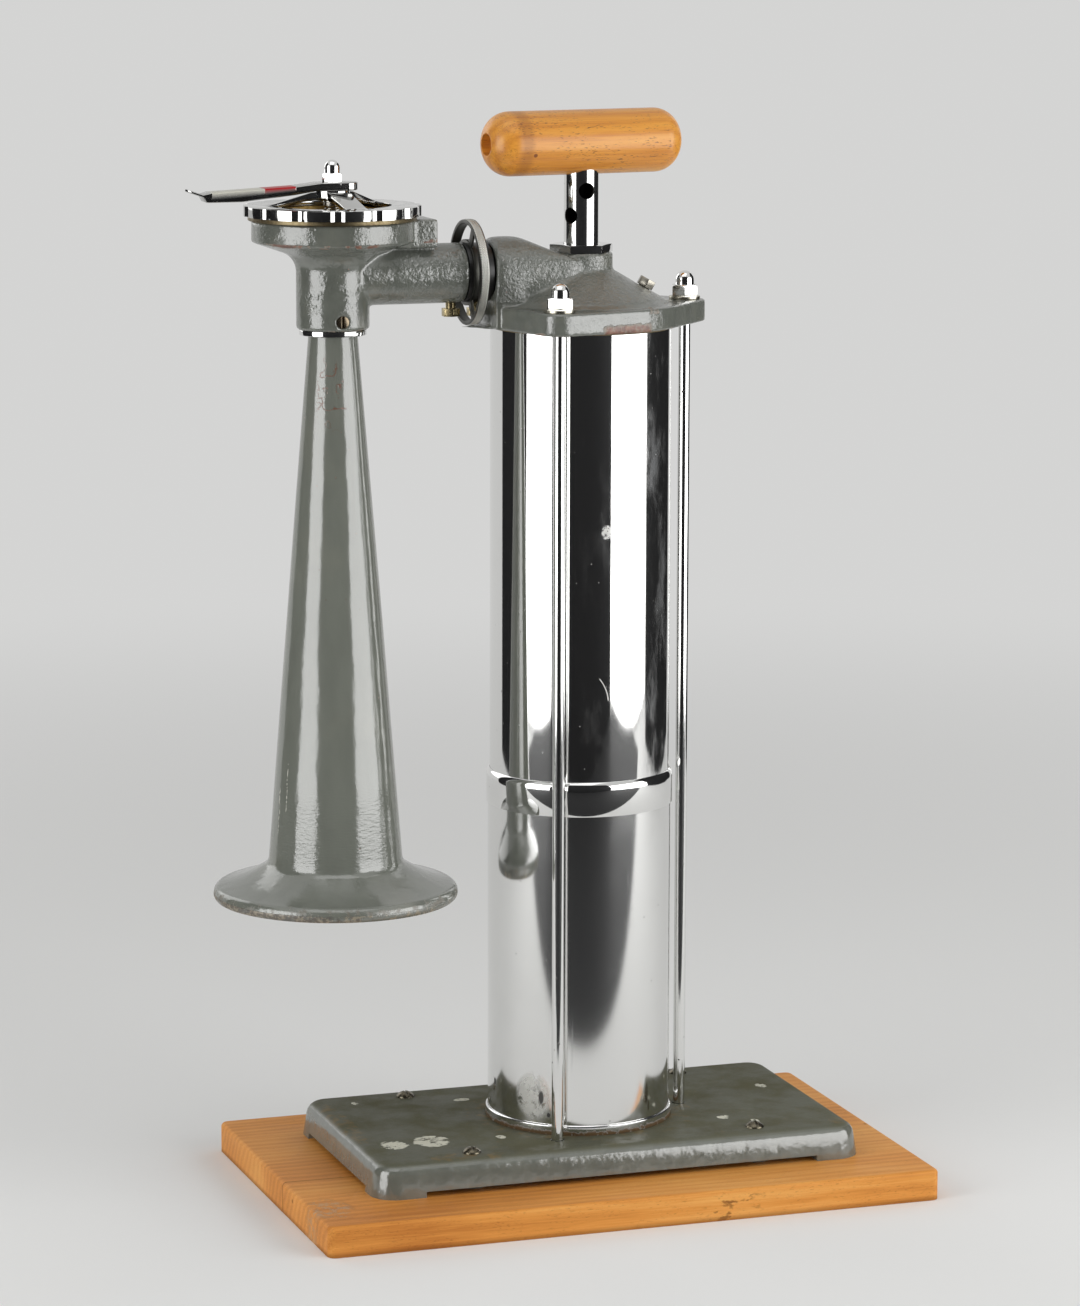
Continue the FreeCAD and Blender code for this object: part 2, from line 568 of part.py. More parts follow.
def tube_joint_collar():
    body = piece("tube_joint_collar", up=f"{PLATE_TOP} + dim.lower_tube_length")
    lower, upper = "dim.lower_tube_radius + dim.fit", "dim.upper_tube_radius + dim.fit"
    ledge = "dim.joint_seal_height + 0.2"
    points = [(lower, "-dim.collar_below"), ("dim.collar_radius", "-dim.collar_below"),
              ("dim.collar_radius", "dim.collar_above - dim.collar_bead"),
              (upper, "dim.collar_above", "1.3 * dim.collar_bead"), (upper, ledge), (lower, ledge)]
    turned(body, outline(body, "XZ_Plane", points))
    return body


def tube_joint_seal():
    return plain_ring("tube_joint_seal", "dim.bore_radius + 0.1", "dim.upper_tube_radius", "0",
                      "dim.joint_seal_height", up=f"{PLATE_TOP} + dim.lower_tube_length")


def upper_tube():
    return plain_ring("upper_tube", "dim.bore_radius", "dim.upper_tube_radius",
                      "dim.lower_tube_length + dim.joint_seal_height", "dim.barrel_length - dim.gasket_thickness",
                      up=PLATE_TOP)


def head_gasket():
    return plain_ring("head_gasket", "dim.bore_radius - 1", "dim.upper_tube_radius", "-dim.gasket_thickness", "0",
                      up=HEAD_LOW)


def tie_rods():
    body = piece("tie_rods", up=PLATE_TOP)
    flange_top = "(dim.barrel_length + dim.flange_thickness)"
    end = f"({flange_top} + dim.washer_thickness + dim.tie_nut_height - dim.nut_roof - 1)"
    thin, thick, upper = "dim.tie_rod_radius", "dim.tie_thread_radius", "(dim.barrel_length + 3)"
    points = [("0", "-dim.tie_thread_depth"), (thick, "-dim.tie_thread_depth"), (thick, "-1"), (thin, "-1"),
              (thin, upper), (thick, upper), (thick, end), ("0", end)]
    rod = turned(body, outline(body, "XZ_Plane", points, ("dim.rod_circle", "0", "0")))
    repeat(body, [rod], "3")
    return body


def tie_rod_washers():
    body = piece("tie_rod_washers", up=f"{HEAD_LOW} + dim.flange_thickness")
    washer = ring(body, "dim.tie_thread_radius + dim.fit", "dim.washer_radius", "0", "dim.washer_thickness",
                  shift=("dim.rod_circle", "0", "0"))
    repeat(body, [washer], "3")
    return body


def domed_nut(body, size, thread, across="0", turn="0"):
    """A hexagon nut with a domed cap, closed at the top, standing on the body's XY plane."""
    flats, hex_height = f"dim.{size}_flats", f"dim.{size}_hex_height"
    dome, height = f"dim.{size}_dome_radius", f"dim.{size}_height"
    corner = f"{flats} / sqrt(3)"
    level = (across, "0", "0")
    hexagonal = pad(body, hexagon(body, flats, level, turn), hex_height)
    trim = [(f"{corner} + 1", f"{hex_height} + 1"), (f"{flats} / 2", f"{hex_height} + 1"),
            (f"{flats} / 2", hex_height), (f"{corner} + 1", f"{hex_height} - 0.12 * {flats}")]
    bevel = turned(body, outline(body, "XZ_Plane", trim, level), "Groove")
    crown = [("0", "0"), (dome, "0"), (dome, f"{height} - {dome}"), ("0", height, dome)]
    cap = turned(body, outline(body, "XZ_Plane", crown, level))
    bore = ring(body, "0", thread, "-1", f"{height} - dim.nut_roof", "Groove", level)
    return [hexagonal, bevel, cap, bore]


def tie_rod_nuts():
    body = piece("tie_rod_nuts", up=f"{HEAD_LOW} + dim.flange_thickness + dim.washer_thickness")
    parts = domed_nut(body, "tie_nut", "dim.tie_thread_radius + dim.fit", "dim.rod_circle", "11")
    repeat(body, parts, "3")
    return body


# Pump head with its gland

def plug_hinge():
    """The level line about which the oil plug leans outwards with the cone."""
    return -value("sin(dim.plug_angle)"), value("cos(dim.plug_angle)"), 0


def elbow(body):
    """The head's elbow: a round pipe with a blunt nose, its crest sloping down, on an upright apron."""
    end, shell, start = "-dim.outlet_reach", "dim.outlet_radius", "-dim.elbow_straight"
    level = ("0", "dim.outlet_height", "0")
    nose_from, nose = "-dim.elbow_nose_from", "(dim.elbow_tip + dim.elbow_nose_from)"
    bend = f"(1.02 * ({shell} ^ 2 + {nose} ^ 2) / (2 * {nose}))"
    pipe = [(end, "0"), ("dim.elbow_tip", "0"), (nose_from, shell, bend), (f"{end} + 1.5", shell),
            (end, f"{shell} - 1.5", "1.55")]
    turned(body, outline(body, "XZ_Plane", pipe, level), axis="H_Axis")
    slab(body, rectangle(body, "XZ_Plane", (end, "0"), (start, "dim.outlet_height")), f"2 * ({shell})")
    past = f"({shell} + 5)"
    low = f"({shell} - (dim.elbow_straight + {past}) * tan(dim.elbow_slope))"
    crest = [(start, shell), (past, low), (past, past), (start, past)]
    cut_through(body, outline(body, "XZ_Plane", crest, level), past)


def pump_head():
    body = piece("pump_head", up=HEAD_LOW)
    flange = "dim.flange_thickness"
    cone_top = f"({flange} + dim.cone_height)"
    neck_top = f"({cone_top} + dim.neck_height)"
    shelf = f"({neck_top} - 2 * dim.packing_height)"
    roof = f"({shelf} - dim.bush_seat)"
    bush = "(dim.bush_radius + dim.fit)"
    packing = "(dim.packing_radius + dim.fit)"
    hollow = "(dim.upper_tube_radius - dim.head_wall)"
    points = [(hollow, "0"), ("dim.flange_radius", "0"), ("dim.flange_radius", flange), ("dim.cone_radius", flange),
              ("dim.neck_radius", cone_top), ("dim.neck_radius", neck_top), (packing, neck_top), (packing, shelf),
              (bush, shelf), (bush, roof), (f"{bush} + 2", roof), (hollow, f"{flange} - dim.head_wall")]
    elbow(body)
    turned(body, outline(body, "XZ_Plane", points))
    spread = "acos((dim.flange_radius - dim.lug_radius) / dim.rod_circle)"
    start_x, start_y = f"dim.flange_radius * cos({spread})", f"dim.flange_radius * sin({spread})"
    end_x, end_y = f"dim.rod_circle + dim.lug_radius * cos({spread})", f"dim.lug_radius * sin({spread})"
    inside = f"{start_x} - 4"
    lug = [(inside, f"-{start_y} + 4"), (start_x, f"-({start_y})"), (end_x, f"-({end_y})"),
           ("dim.rod_circle + dim.lug_radius", "0", "dim.lug_radius"), (end_x, end_y, "dim.lug_radius"),
           (start_x, start_y), (inside, f"{start_y} - 4")]
    repeat(body, [pad(body, outline(body, "XY_Plane", lug), flange)], "3")
    half, tip = "dim.tongue_width / 2", "dim.tongue_tip"
    near, far = "-0.85 * dim.flange_radius", "-dim.tongue_reach"
    tongue = [(near, half), (f"{far} + {tip}", tip), (far, "0", f"-1.05 * {tip}"),
              (f"{far} + {tip}", f"-{tip}", f"-1.05 * {tip}"), (near, f"-{half}")]
    pad(body, outline(body, "XY_Plane", mirrored(tongue)), "dim.tongue_thickness")
    level = ("0", "dim.outlet_height", "0")
    end, bore, chamber = "-dim.outlet_reach", "dim.outlet_bore", "-dim.elbow_chamber"
    ring(body, "0", "dim.neck_radius - 5", f"{roof} - 8", roof, "Groove")
    passage = [(f"{end} - 1", "0"), (f"{chamber} + {bore}", "0"), (chamber, bore, bore), (f"{end} - 1", bore)]
    turned(body, outline(body, "XZ_Plane", passage, level), "Groove", "H_Axis")
    ring(body, "0", "dim.port_radius", "-1", "dim.outlet_height", "Groove", (chamber, "0", "0"))
    ring(body, "0", bush, "0", shelf, "Groove")
    ring(body, "0", packing, shelf, f"{neck_top} + 1", "Groove")
    ring(body, "0", "dim.gland_flats / sqrt(3) + 0.5", neck_top, f"{neck_top} + dim.neck_height", "Groove")
    out, round_x, round_y = "dim.plug_radius_at", "cos(dim.plug_angle)", "sin(dim.plug_angle)"
    spot = (f"{out} * {round_x}", f"{out} * {round_y}", f"{flange} + (dim.cone_radius - {out}) * tan({CONE_TILT})")
    hole = rounds(body, "XY_Plane", [("0", "0", "dim.plug_shank + dim.fit")], spot, CONE_TILT, plug_hinge())
    cut(body, hole, "dim.plug_depth + 1")
    clear = "dim.tie_thread_radius + dim.hole_clearance"
    cut_through(body, rounds(body, "XY_Plane", around("dim.rod_circle", clear)), f"{flange} + 1")
    return body


def mirrored(points):
    """The same outline walked the other way round."""
    turned_over = [points[0][:2]]
    for index in range(len(points) - 1, 0, -1):
        after = points[(index + 1) % len(points)]
        bow = (f"-({after[2]})",) if len(after) == 3 else ()
        turned_over.append(points[index][:2] + bow)
    return turned_over


def guide_bush():
    low = f"{NECK_TOP} - 2 * dim.packing_height"
    return plain_ring("guide_bush", "dim.rod_radius + dim.running_fit", "dim.bush_radius", "-dim.bush_length", "0",
                      up=low)


def gland_packing():
    low = f"{NECK_TOP} - 2 * dim.packing_height"
    return plain_ring("gland_packing", "dim.rod_radius + dim.soft_gap", "dim.packing_radius", "0",
                      "dim.packing_height", up=low)


def gland_nut():
    body = piece("gland_nut", up=NECK_TOP)
    pad(body, hexagon(body, "dim.gland_flats", turn="dim.gland_turn"), "dim.gland_height")
    corner, half = "dim.gland_flats / sqrt(3)", "dim.gland_flats / 2"
    trim = [(f"{corner} + 1", "dim.gland_height + 1"), (half, "dim.gland_height + 1"), (half, "dim.gland_height"),
            (f"{corner} + 1", "dim.gland_height - dim.gland_bevel")]
    turned(body, outline(body, "XZ_Plane", trim), "Groove")
    ring(body, "0", "dim.packing_radius", "-dim.packing_height", "0")
    ring(body, "0", "dim.rod_radius + dim.hole_clearance", "-dim.packing_height - 1", "dim.gland_height + 1", "Groove")
    return body


def oil_plug():
    body = piece("oil_plug", "dim.plug_radius_at * cos(dim.plug_angle)", "dim.plug_radius_at * sin(dim.plug_angle)",
                 f"{HEAD_LOW} + dim.flange_thickness + (dim.cone_radius - dim.plug_radius_at) * tan({CONE_TILT})")
    body.Placement = FreeCAD.Placement(body.Placement.Base, FreeCAD.Rotation(FreeCAD.Vector(*plug_hinge()), 1))
    body.setExpression("Placement.Rotation.Angle", CONE_TILT)
    pad(body, hexagon(body, "dim.plug_flats", turn="15"), "dim.plug_height")
    ring(body, "0", "dim.plug_shank", "-dim.plug_depth", "0")
    return body


def bottom_buffer():
    return plain_ring("bottom_buffer", "dim.rod_bore", "dim.buffer_radius", "0", "dim.piston_rest - 0.1",
                      up=PLATE_TOP)


# Piston, rod and handle

def piston_disc():
    body = piece("piston_disc", up=PISTON_LOW)
    ring(body, "dim.rod_step_radius + dim.running_fit", "dim.bore_radius - dim.piston_gap", "0",
         "dim.piston_thickness")
    return body


def cup_leather():
    body = piece("cup_leather", up=f"{PISTON_LOW} + dim.piston_thickness")
    edge, inner, skin = "(dim.bore_radius - dim.soft_gap)", "(dim.rod_step_radius + 0.1)", "dim.leather_thickness"
    points = [(inner, "0"), (f"{edge} - {skin}", "0"), (edge, skin, skin), (edge, "dim.leather_height"),
              (f"{edge} - {skin} + 1", "dim.leather_height"), (f"{edge} - {skin}", skin), (inner, skin)]
    turned(body, outline(body, "XZ_Plane", points))
    return body


def leather_retainer():
    return plain_ring("leather_retainer", "dim.rod_step_radius + dim.running_fit",
                      "dim.bore_radius - dim.soft_gap - dim.leather_thickness - 1.5", "0", "dim.retainer_thickness",
                      up=f"{PISTON_LOW} + dim.piston_thickness + dim.leather_thickness")


def yawed(body):
    """The same body turned about its upright axis, as the handle stands."""
    body.Placement = FreeCAD.Placement(body.Placement.Base, FreeCAD.Rotation(FreeCAD.Vector(0, 0, 1), 1))
    body.setExpression("Placement.Rotation.Angle", "dim.handle_yaw")
    return body


def piston_rod():
    body = yawed(piece("piston_rod", up=f"{PLATE_TOP} + dim.piston_rest"))
    stack = "dim.piston_nut_height + dim.piston_thickness + dim.leather_thickness + dim.retainer_thickness"
    step = f"({stack} + dim.running_fit)"
    axis = "(dim.barrel_length + dim.handle_rise - dim.piston_rest)"
    top = f"({axis} + dim.socket_above)"
    points = [("dim.rod_bore", "0"), ("dim.rod_step_radius", "0"), ("dim.rod_step_radius", step),
              ("dim.rod_radius", step), ("dim.rod_radius", top), ("dim.rod_bore", top)]
    turned(body, outline(body, "XZ_Plane", points))
    reach, high = "dim.rod_radius + 2", f"{axis} - dim.air_hole_drop"
    upper, lower = "dim.air_hole_face", "dim.air_hole_face + dim.air_hole_turn"
    for turn, height in ((upper, high), (lower, f"{high} - dim.air_hole_step")):
        hole = rounds(body, "XZ_Plane", [("0", height, "dim.air_hole_radius")], turn=turn, about=(0, 1, 0))
        cut(body, hole, reach, Reversed=True)
    cut_through(body, rounds(body, "YZ_Plane", [("0", axis, "dim.pin_radius + dim.fit")]), reach)
    return body


def piston_nut():
    body = yawed(piece("piston_nut", up=f"{PLATE_TOP} + dim.piston_rest"))
    pad(body, hexagon(body, "dim.piston_nut_flats"), "dim.piston_nut_height")
    ring(body, "0", "dim.rod_step_radius + dim.fit", "-1", "dim.piston_nut_height + 1", "Groove")
    return body


def handle_grip():
    body = yawed(piece("handle_grip", up=HANDLE_AXIS))
    half, face, radius = "dim.handle_length / 2", "dim.handle_end_face", "dim.handle_radius"
    shoulder, bend = "(dim.handle_length / 2 - dim.handle_end_reach)", "dim.handle_end_round"
    points = [(f"-{half}", "0"), (half, "0"), (half, face), (shoulder, radius, bend), (f"-{shoulder}", radius),
              (f"-{half}", face, bend)]
    turned(body, outline(body, "XZ_Plane", points), axis="H_Axis")
    level_ring(body, "0", "dim.pin_radius + dim.fit", f"-{half} - 1", f"{half} + 1", "Groove")
    for side in (1, -1):
        floor, past = f"{side} * ({half} - dim.counterbore_depth)", f"{side} * ({half} + 1)"
        level_ring(body, "0", "dim.counterbore_radius", floor, past, "Groove")
    ring(body, "0", "dim.rod_radius + dim.fit", f"-{radius} - 1", "dim.socket_above + 0.1", "Groove")
    return body


def handle_pin():
    body = yawed(piece("handle_pin", up=HANDLE_AXIS))
    reach = "(dim.handle_length / 2 - dim.counterbore_depth + dim.pin_proud)"
    radius = "dim.pin_radius"
    dome = f"({radius} ^ 2 + 1) / 2"
    points = [(reach, "0"), (f"{reach} - 1", radius, dome), (f"-{reach} + 1", radius), (f"-{reach}", "0", dome)]
    turned(body, outline(body, "XZ_Plane", points), axis="H_Axis")
    return body


# Swivel between the elbow and the horn's arm

def swivel_sleeve():
    body = piece("swivel_sleeve", ELBOW_X, "0", ARM_AXIS)
    outer, inner = "-dim.sleeve_outer_length", "dim.sleeve_inner_length"
    end = f"({outer} - dim.sleeve_spigot_length)"
    plug, bore = "dim.outlet_bore - dim.fit", "dim.sleeve_bore"
    points = [(end, bore), (inner, bore), (inner, plug), ("0", plug), ("0", "dim.sleeve_radius"),
              (outer, "dim.sleeve_radius"), (outer, "dim.sleeve_spigot"), (end, "dim.sleeve_spigot")]
    turned(body, outline(body, "XZ_Plane", points), axis="H_Axis")
    groove = f"({end} + dim.swivel_seal_at)"
    half = "dim.swivel_seal_width / 2"
    level_ring(body, "dim.sleeve_spigot - dim.swivel_seal_depth", "dim.sleeve_spigot + 1", f"{groove} - {half}",
               f"{groove} + {half}", "Groove")
    low = "-dim.sleeve_radius - 1"
    ring(body, "0", "dim.clamp_bolt_radius + dim.fit", low, "-dim.bolt_tip_drop + 0.5", "Groove",
         ("-dim.sleeve_bolt_from", "0", "0"))
    return body


def swivel_seal():
    body = piece("swivel_seal", ARM_END_X, "0", ARM_AXIS)
    centre, half = "(dim.swivel_seal_at - dim.sleeve_spigot_length)", "(dim.swivel_seal_width / 2 - 0.05)"
    level_ring(body, "dim.sleeve_spigot - dim.swivel_seal_depth", "dim.sleeve_spigot - 0.2", f"{centre} - {half}",
               f"{centre} + {half}")
    return body


def clamp_bolt(name, across):
    """A hexagon bolt that comes up from below into the arm or the sleeve."""
    body = piece(name, across, "0", ARM_AXIS)
    head = ("0", "0", "-dim.clamp_bolt_drop - dim.clamp_bolt_head")
    pad(body, hexagon(body, "dim.clamp_bolt_flats", head, "30"), "dim.clamp_bolt_head")
    ring(body, "0", "dim.clamp_bolt_radius", "-dim.clamp_bolt_drop", "-dim.bolt_tip_drop")
    return body


def lock_wheel():
    body = piece("lock_wheel", ARM_END_X, "0", ARM_AXIS)
    near = "dim.wheel_setback"
    level_ring(body, "dim.wheel_radius - dim.wheel_rim", "dim.wheel_radius", near, f"{near} + dim.wheel_width")
    level_ring(body, "dim.sleeve_radius + dim.running_fit", "dim.wheel_hub_radius", near, f"{near} + dim.wheel_hub")
    half = "dim.wheel_spoke_width / 2"
    corners = (("dim.wheel_hub_radius - 1", f"-{half}"), ("dim.wheel_radius - dim.wheel_rim + 0.5", half))
    spoke = pad(body, rectangle(body, "YZ_Plane", *corners, ("0", "0", near)), "dim.wheel_web")
    repeat(body, [spoke], "3", "X_Axis")
    return body


# Horn head on the arm

def horn_piece(name):
    """An empty body whose origin lies where the horn's axis meets the arm's axis."""
    return piece(name, HORN_X, "0", ARM_AXIS)


def horn_head():
    body = horn_piece("horn_head")
    low, neck = "-dim.horn_neck_drop", "dim.horn_neck_radius"
    level_ring(body, "0", "dim.arm_radius", "0", "dim.arm_end")
    reach, rise = f"({neck} + dim.disc_fillet_reach)", "(dim.horn_neck_top + dim.disc_fillet_rise)"
    collar_top = "(dim.disc_top + dim.collar_rise)"
    points = [("0", low), (f"{neck} - 2", low), (neck, f"{low} + 2", "2.05"), (neck, "dim.horn_neck_top"),
              (reach, rise, "-dim.disc_fillet"), ("dim.disc_radius", "dim.disc_low"),
              ("dim.disc_radius", "dim.disc_top"), ("dim.collar_out", "dim.disc_top"), ("dim.collar_out", collar_top),
              ("0", collar_top)]
    turned(body, outline(body, "XZ_Plane", points))
    block = [("dim.ear_start", "dim.ear_low"), ("dim.ear_reach", "dim.ear_low"), ("dim.ear_reach", "dim.disc_top"),
             ("dim.ear_start", "dim.disc_top")]
    slab(body, outline(body, "XZ_Plane", block), "dim.ear_width")
    spigot, shelf, slim = "(dim.spigot_radius + dim.fit)", "-dim.nozzle_shelf_drop", "dim.nozzle_radius + dim.fit"
    hollow = [("0", f"{low} - 1"), (spigot, f"{low} - 1"), (spigot, shelf), (slim, shelf), (slim, "-dim.chamber_low"),
              ("dim.chamber_radius", "-dim.chamber_low"), ("dim.chamber_radius", "dim.drum_low"),
              ("dim.drum_radius", "dim.drum_low"), ("dim.drum_radius", "dim.drum_high"),
              ("dim.collar_in", "dim.drum_high"), ("dim.collar_in", f"{collar_top} + 1"), ("0", f"{collar_top} + 1")]
    turned(body, outline(body, "XZ_Plane", hollow), "Groove")
    level_ring(body, "0", "dim.arm_bore", "0", "dim.arm_end + 1", "Groove")
    sleeve_room = "dim.arm_end - dim.sleeve_spigot_length - 0.5"
    level_ring(body, "0", "dim.sleeve_spigot + dim.running_fit", sleeve_room, "dim.arm_end + 1", "Groove")
    ring(body, "0", "dim.clamp_bolt_radius + dim.fit", "-dim.arm_radius - 1", "-dim.sleeve_spigot + 1", "Groove",
         ("dim.arm_end - dim.arm_bolt_at", "0", "0"))
    grub = rounds(body, "XZ_Plane", [("0", f"{low} + dim.grub_height", "dim.grub_radius + dim.fit")])
    cut(body, grub, f"{neck} + 1", Reversed=True)
    return body


def neck_grub_screw():
    body = horn_piece("neck_grub_screw")
    inner, outer = "(dim.spigot_radius + dim.fit)", "(dim.horn_neck_radius - 0.5)"
    height = "-dim.horn_neck_drop + dim.grub_height"
    shaft = rounds(body, "XZ_Plane", [("0", height, "dim.grub_radius")], ("0", "0", inner))
    pad(body, shaft, f"{outer} - {inner}")
    half = "dim.slot_width / 2"
    corners = ((f"-{half}", f"{height} - dim.grub_radius - 1"), (half, f"{height} + dim.grub_radius + 1"))
    slot = rectangle(body, "XZ_Plane", *corners, ("0", "0", outer))
    cut(body, slot, "dim.slot_depth")
    return body


def nozzle():
    body = horn_piece("nozzle")
    low, top = "(0 - dim.nozzle_shelf_drop - dim.nozzle_foot_height)", "(dim.drum_high + dim.thin_gasket)"
    points = [("dim.nozzle_bore", low), ("dim.nozzle_foot", low), ("dim.nozzle_foot", "-dim.nozzle_shelf_drop"),
              ("dim.nozzle_radius", "-dim.nozzle_shelf_drop"), ("dim.nozzle_radius", f"{top} - dim.nozzle_top_gap"),
              ("dim.nozzle_bore", f"{top} - dim.nozzle_top_gap")]
    turned(body, outline(body, "XZ_Plane", points))
    return body


def horn_ring(name, inner, outer, low, high):
    """A plain ring about the horn's axis."""
    return plain_ring(name, inner, outer, low, high, HORN_X, ARM_AXIS)


LEDGE = "(dim.drum_high + dim.thin_gasket)"
CLAMP_LOW = f"({LEDGE} + dim.diaphragm_thickness)"
WHEEL_LOW = "(dim.disc_top + dim.cap_ring_height + 0.1)"
WHEEL_TOP = f"({WHEEL_LOW} + dim.cover_height)"


def diaphragm_gasket():
    return horn_ring("diaphragm_gasket", "dim.drum_radius", "dim.collar_in - 0.1", "dim.drum_high", LEDGE)


def diaphragm():
    return horn_ring("diaphragm", "0", "dim.collar_in - 0.1", LEDGE, CLAMP_LOW)


def diaphragm_ring():
    return horn_ring("diaphragm_ring", "dim.drum_radius", "dim.collar_in - dim.fit", CLAMP_LOW,
                     "dim.disc_top + dim.collar_rise - 0.1")


def cap_ring():
    return horn_ring("cap_ring", "dim.collar_out + dim.fit", "dim.cap_ring_radius", "dim.disc_top",
                     "dim.disc_top + dim.cap_ring_height")


def throat_ring():
    return horn_ring("throat_ring", "dim.spigot_radius + dim.fit", "dim.throat_ring_radius",
                     "-dim.horn_neck_drop - dim.throat_ring_height", "-dim.horn_neck_drop")


def trumpet():
    body = piece("trumpet", HORN_X, "0", f"{ARM_AXIS} - dim.horn_neck_drop - dim.throat_ring_height")
    wall, long, drop = "dim.trumpet_wall", "dim.trumpet_length", "(dim.trumpet_length + dim.flare_drop)"
    stem = "(dim.horn_neck_drop + dim.throat_ring_height - dim.nozzle_shelf_drop - dim.nozzle_foot_height - 0.05)"
    knee, knee_z = "dim.flare_knee_radius", "(dim.trumpet_length + dim.flare_knee_drop)"
    edge = f"({drop} + dim.roll_drop)"
    flared = "(dim.bell_radius - dim.roll_width)"
    inside = f"(dim.roll_width - {wall})"
    points = [(f"dim.bell_radius - {wall}", f"-{edge}"), ("dim.bell_radius", f"-{edge}"),
              (flared, f"-{drop}", "1.03 * dim.roll_width"),
              (knee, f"-{knee_z}", "-dim.flare_sweep"), ("dim.trumpet_end", f"-{long}", "-dim.flare_turn"),
              ("dim.trumpet_top", "0"), ("dim.spigot_radius", "0"), ("dim.spigot_radius", stem),
              (f"dim.spigot_radius - {wall}", stem), (f"dim.trumpet_top - {wall}", "0"),
              (f"dim.trumpet_end - {wall}", f"-{long} - 0.7"),
              (f"{knee} - dim.knee_inward", f"-{knee_z} - dim.knee_down", "dim.flare_turn + 1.5"),
              (flared, f"-{drop} - {wall}", "dim.flare_sweep + 1.5")]
    points[0] += (f"-1.05 * {inside}",)
    turned(body, outline(body, "XZ_Plane", points))
    return body


def bell_rim():
    body = piece("bell_rim", HORN_X, "0", f"{ARM_AXIS} - dim.horn_neck_drop - dim.throat_ring_height")
    edge = "(dim.trumpet_length + dim.flare_drop + dim.roll_drop + 0.02)"
    low = f"({edge} + dim.rim_height)"
    inner = "(dim.bell_radius - dim.rim_wall)"
    sheet = "(dim.bell_radius - dim.trumpet_wall - dim.fit)"
    crest = f"-{edge} + dim.rim_tongue"
    points = [(inner, f"-{low}"), ("dim.bell_radius - dim.rim_taper", f"-{low}"),
              ("dim.bell_radius", f"-{edge}", "dim.rim_bow"), (sheet, f"-{edge}"),
              (f"{sheet} - dim.rim_tongue / 2", crest), (inner, crest)]
    turned(body, outline(body, "XZ_Plane", points))
    return body


# Cover wheel, lever and spindle

def cover_wheel():
    body = horn_piece("cover_wheel")
    ring(body, "dim.collar_out + dim.running_fit", "dim.cover_radius", WHEEL_LOW, WHEEL_TOP)
    ring(body, "dim.cover_window", "dim.cover_radius - 1", f"{WHEEL_TOP} - dim.cover_web", WHEEL_TOP)
    flute = rounds(body, "XY_Plane", [("dim.cover_radius + dim.flute_radius - dim.flute_depth", "0",
                                       "dim.flute_radius")], ("0", "0", WHEEL_LOW))
    repeat(body, [cut_through(body, flute, "dim.cover_height + 1")], "dim.flute_count")
    ring(body, "0", "dim.hub_radius", "dim.hub_low", "dim.hub_top")
    foot = f"{WHEEL_TOP} - dim.spoke_depth"
    arch = [("dim.spoke_start", "dim.hub_low + 0.7"), ("dim.spoke_haunch", "dim.hub_top - dim.spoke_haunch_drop"),
            ("dim.spoke_foot", foot), ("dim.spoke_end", foot), ("dim.spoke_end", WHEEL_TOP),
            ("dim.spoke_level", WHEEL_TOP),
            ("dim.spoke_bend_at", f"{WHEEL_TOP} + dim.spoke_bend_rise", "-dim.spoke_bend"),
            ("dim.spoke_crest", "dim.hub_top - dim.spoke_crest_drop"),
            ("dim.spoke_start", "dim.hub_top - dim.spoke_crest_drop / 2")]
    spoke = slab(body, outline(body, "XZ_Plane", arch, turn="dim.spoke_turn", about=(0, 1, 0)), "dim.spoke_width")
    repeat(body, [spoke], "3")
    ring(body, "0", "dim.spindle_radius + dim.running_fit", "dim.hub_low - 6", "dim.hub_top + 1", "Groove")
    return body


def lever():
    body = horn_piece("lever")
    low = "(dim.hub_top + 0.05)"
    top = f"({low} + dim.lever_thickness)"
    hub, end, tip = "dim.lever_hub", "dim.lever_half_width", "dim.lever_tip_half_width"
    round_at, bend, slim = "dim.lever_round_at", "dim.lever_tip_round", f"-dim.lever_tip + {tip}"
    plan = [(round_at, f"-{hub}"), (f"{round_at} + {hub}", "0", hub), (round_at, hub, hub), ("-dim.lever_dip", end),
            (slim, tip), ("-dim.lever_tip", "0", bend), (slim, f"-{tip}", bend), ("-dim.lever_dip", f"-{end}")]
    deep, high, past = f"{low} - 2 * {hub}", f"{top} + {hub}", f"{round_at} + 2 * {hub}"
    pad(body, outline(body, "XY_Plane", plan, ("0", "0", deep)), f"{high} - ({deep})")
    tip_top = f"{top} - dim.lever_tip_drop"
    above = [("-dim.lever_tip", f"{high} + 1"), ("-dim.lever_tip", tip_top),
             ("-dim.lever_root", f"{top} - dim.lever_root_drop"), ("-dim.lever_dip", f"{top} - dim.lever_dip_drop"),
             ("-dim.lever_shoulder", f"{top} - dim.lever_shoulder_drop"), ("-dim.lever_flat", top), (past, top),
             (past, f"{high} + 1")]
    cut_through(body, outline(body, "XZ_Plane", above), f"2 * {hub}")
    belly, thin = f"{low} - dim.lever_belly_drop", "dim.lever_tip_thickness"
    below = [("-dim.lever_tip", f"{deep} - 1"), (past, f"{deep} - 1"), (past, low),
             ("-dim.lever_flat - 3", low), ("-dim.lever_shoulder", f"{low} - dim.lever_neck_drop"),
             ("-dim.lever_belly", belly), ("-dim.lever_root + 2", belly),
             ("-dim.lever_root", f"{top} - dim.lever_root_drop - {thin}"), ("-dim.lever_tip", f"{tip_top} - {thin}")]
    cut_through(body, outline(body, "XZ_Plane", below), f"2 * {hub}")
    ring(body, "0", "dim.spindle_radius + dim.fit", deep, high, "Groove")
    return body


def lever_nut():
    body = piece("lever_nut", HORN_X, "0", f"{ARM_AXIS} + dim.hub_top + 0.05 + dim.lever_thickness")
    domed_nut(body, "lever_nut", "dim.spindle_radius + dim.fit", turn="11")
    return body


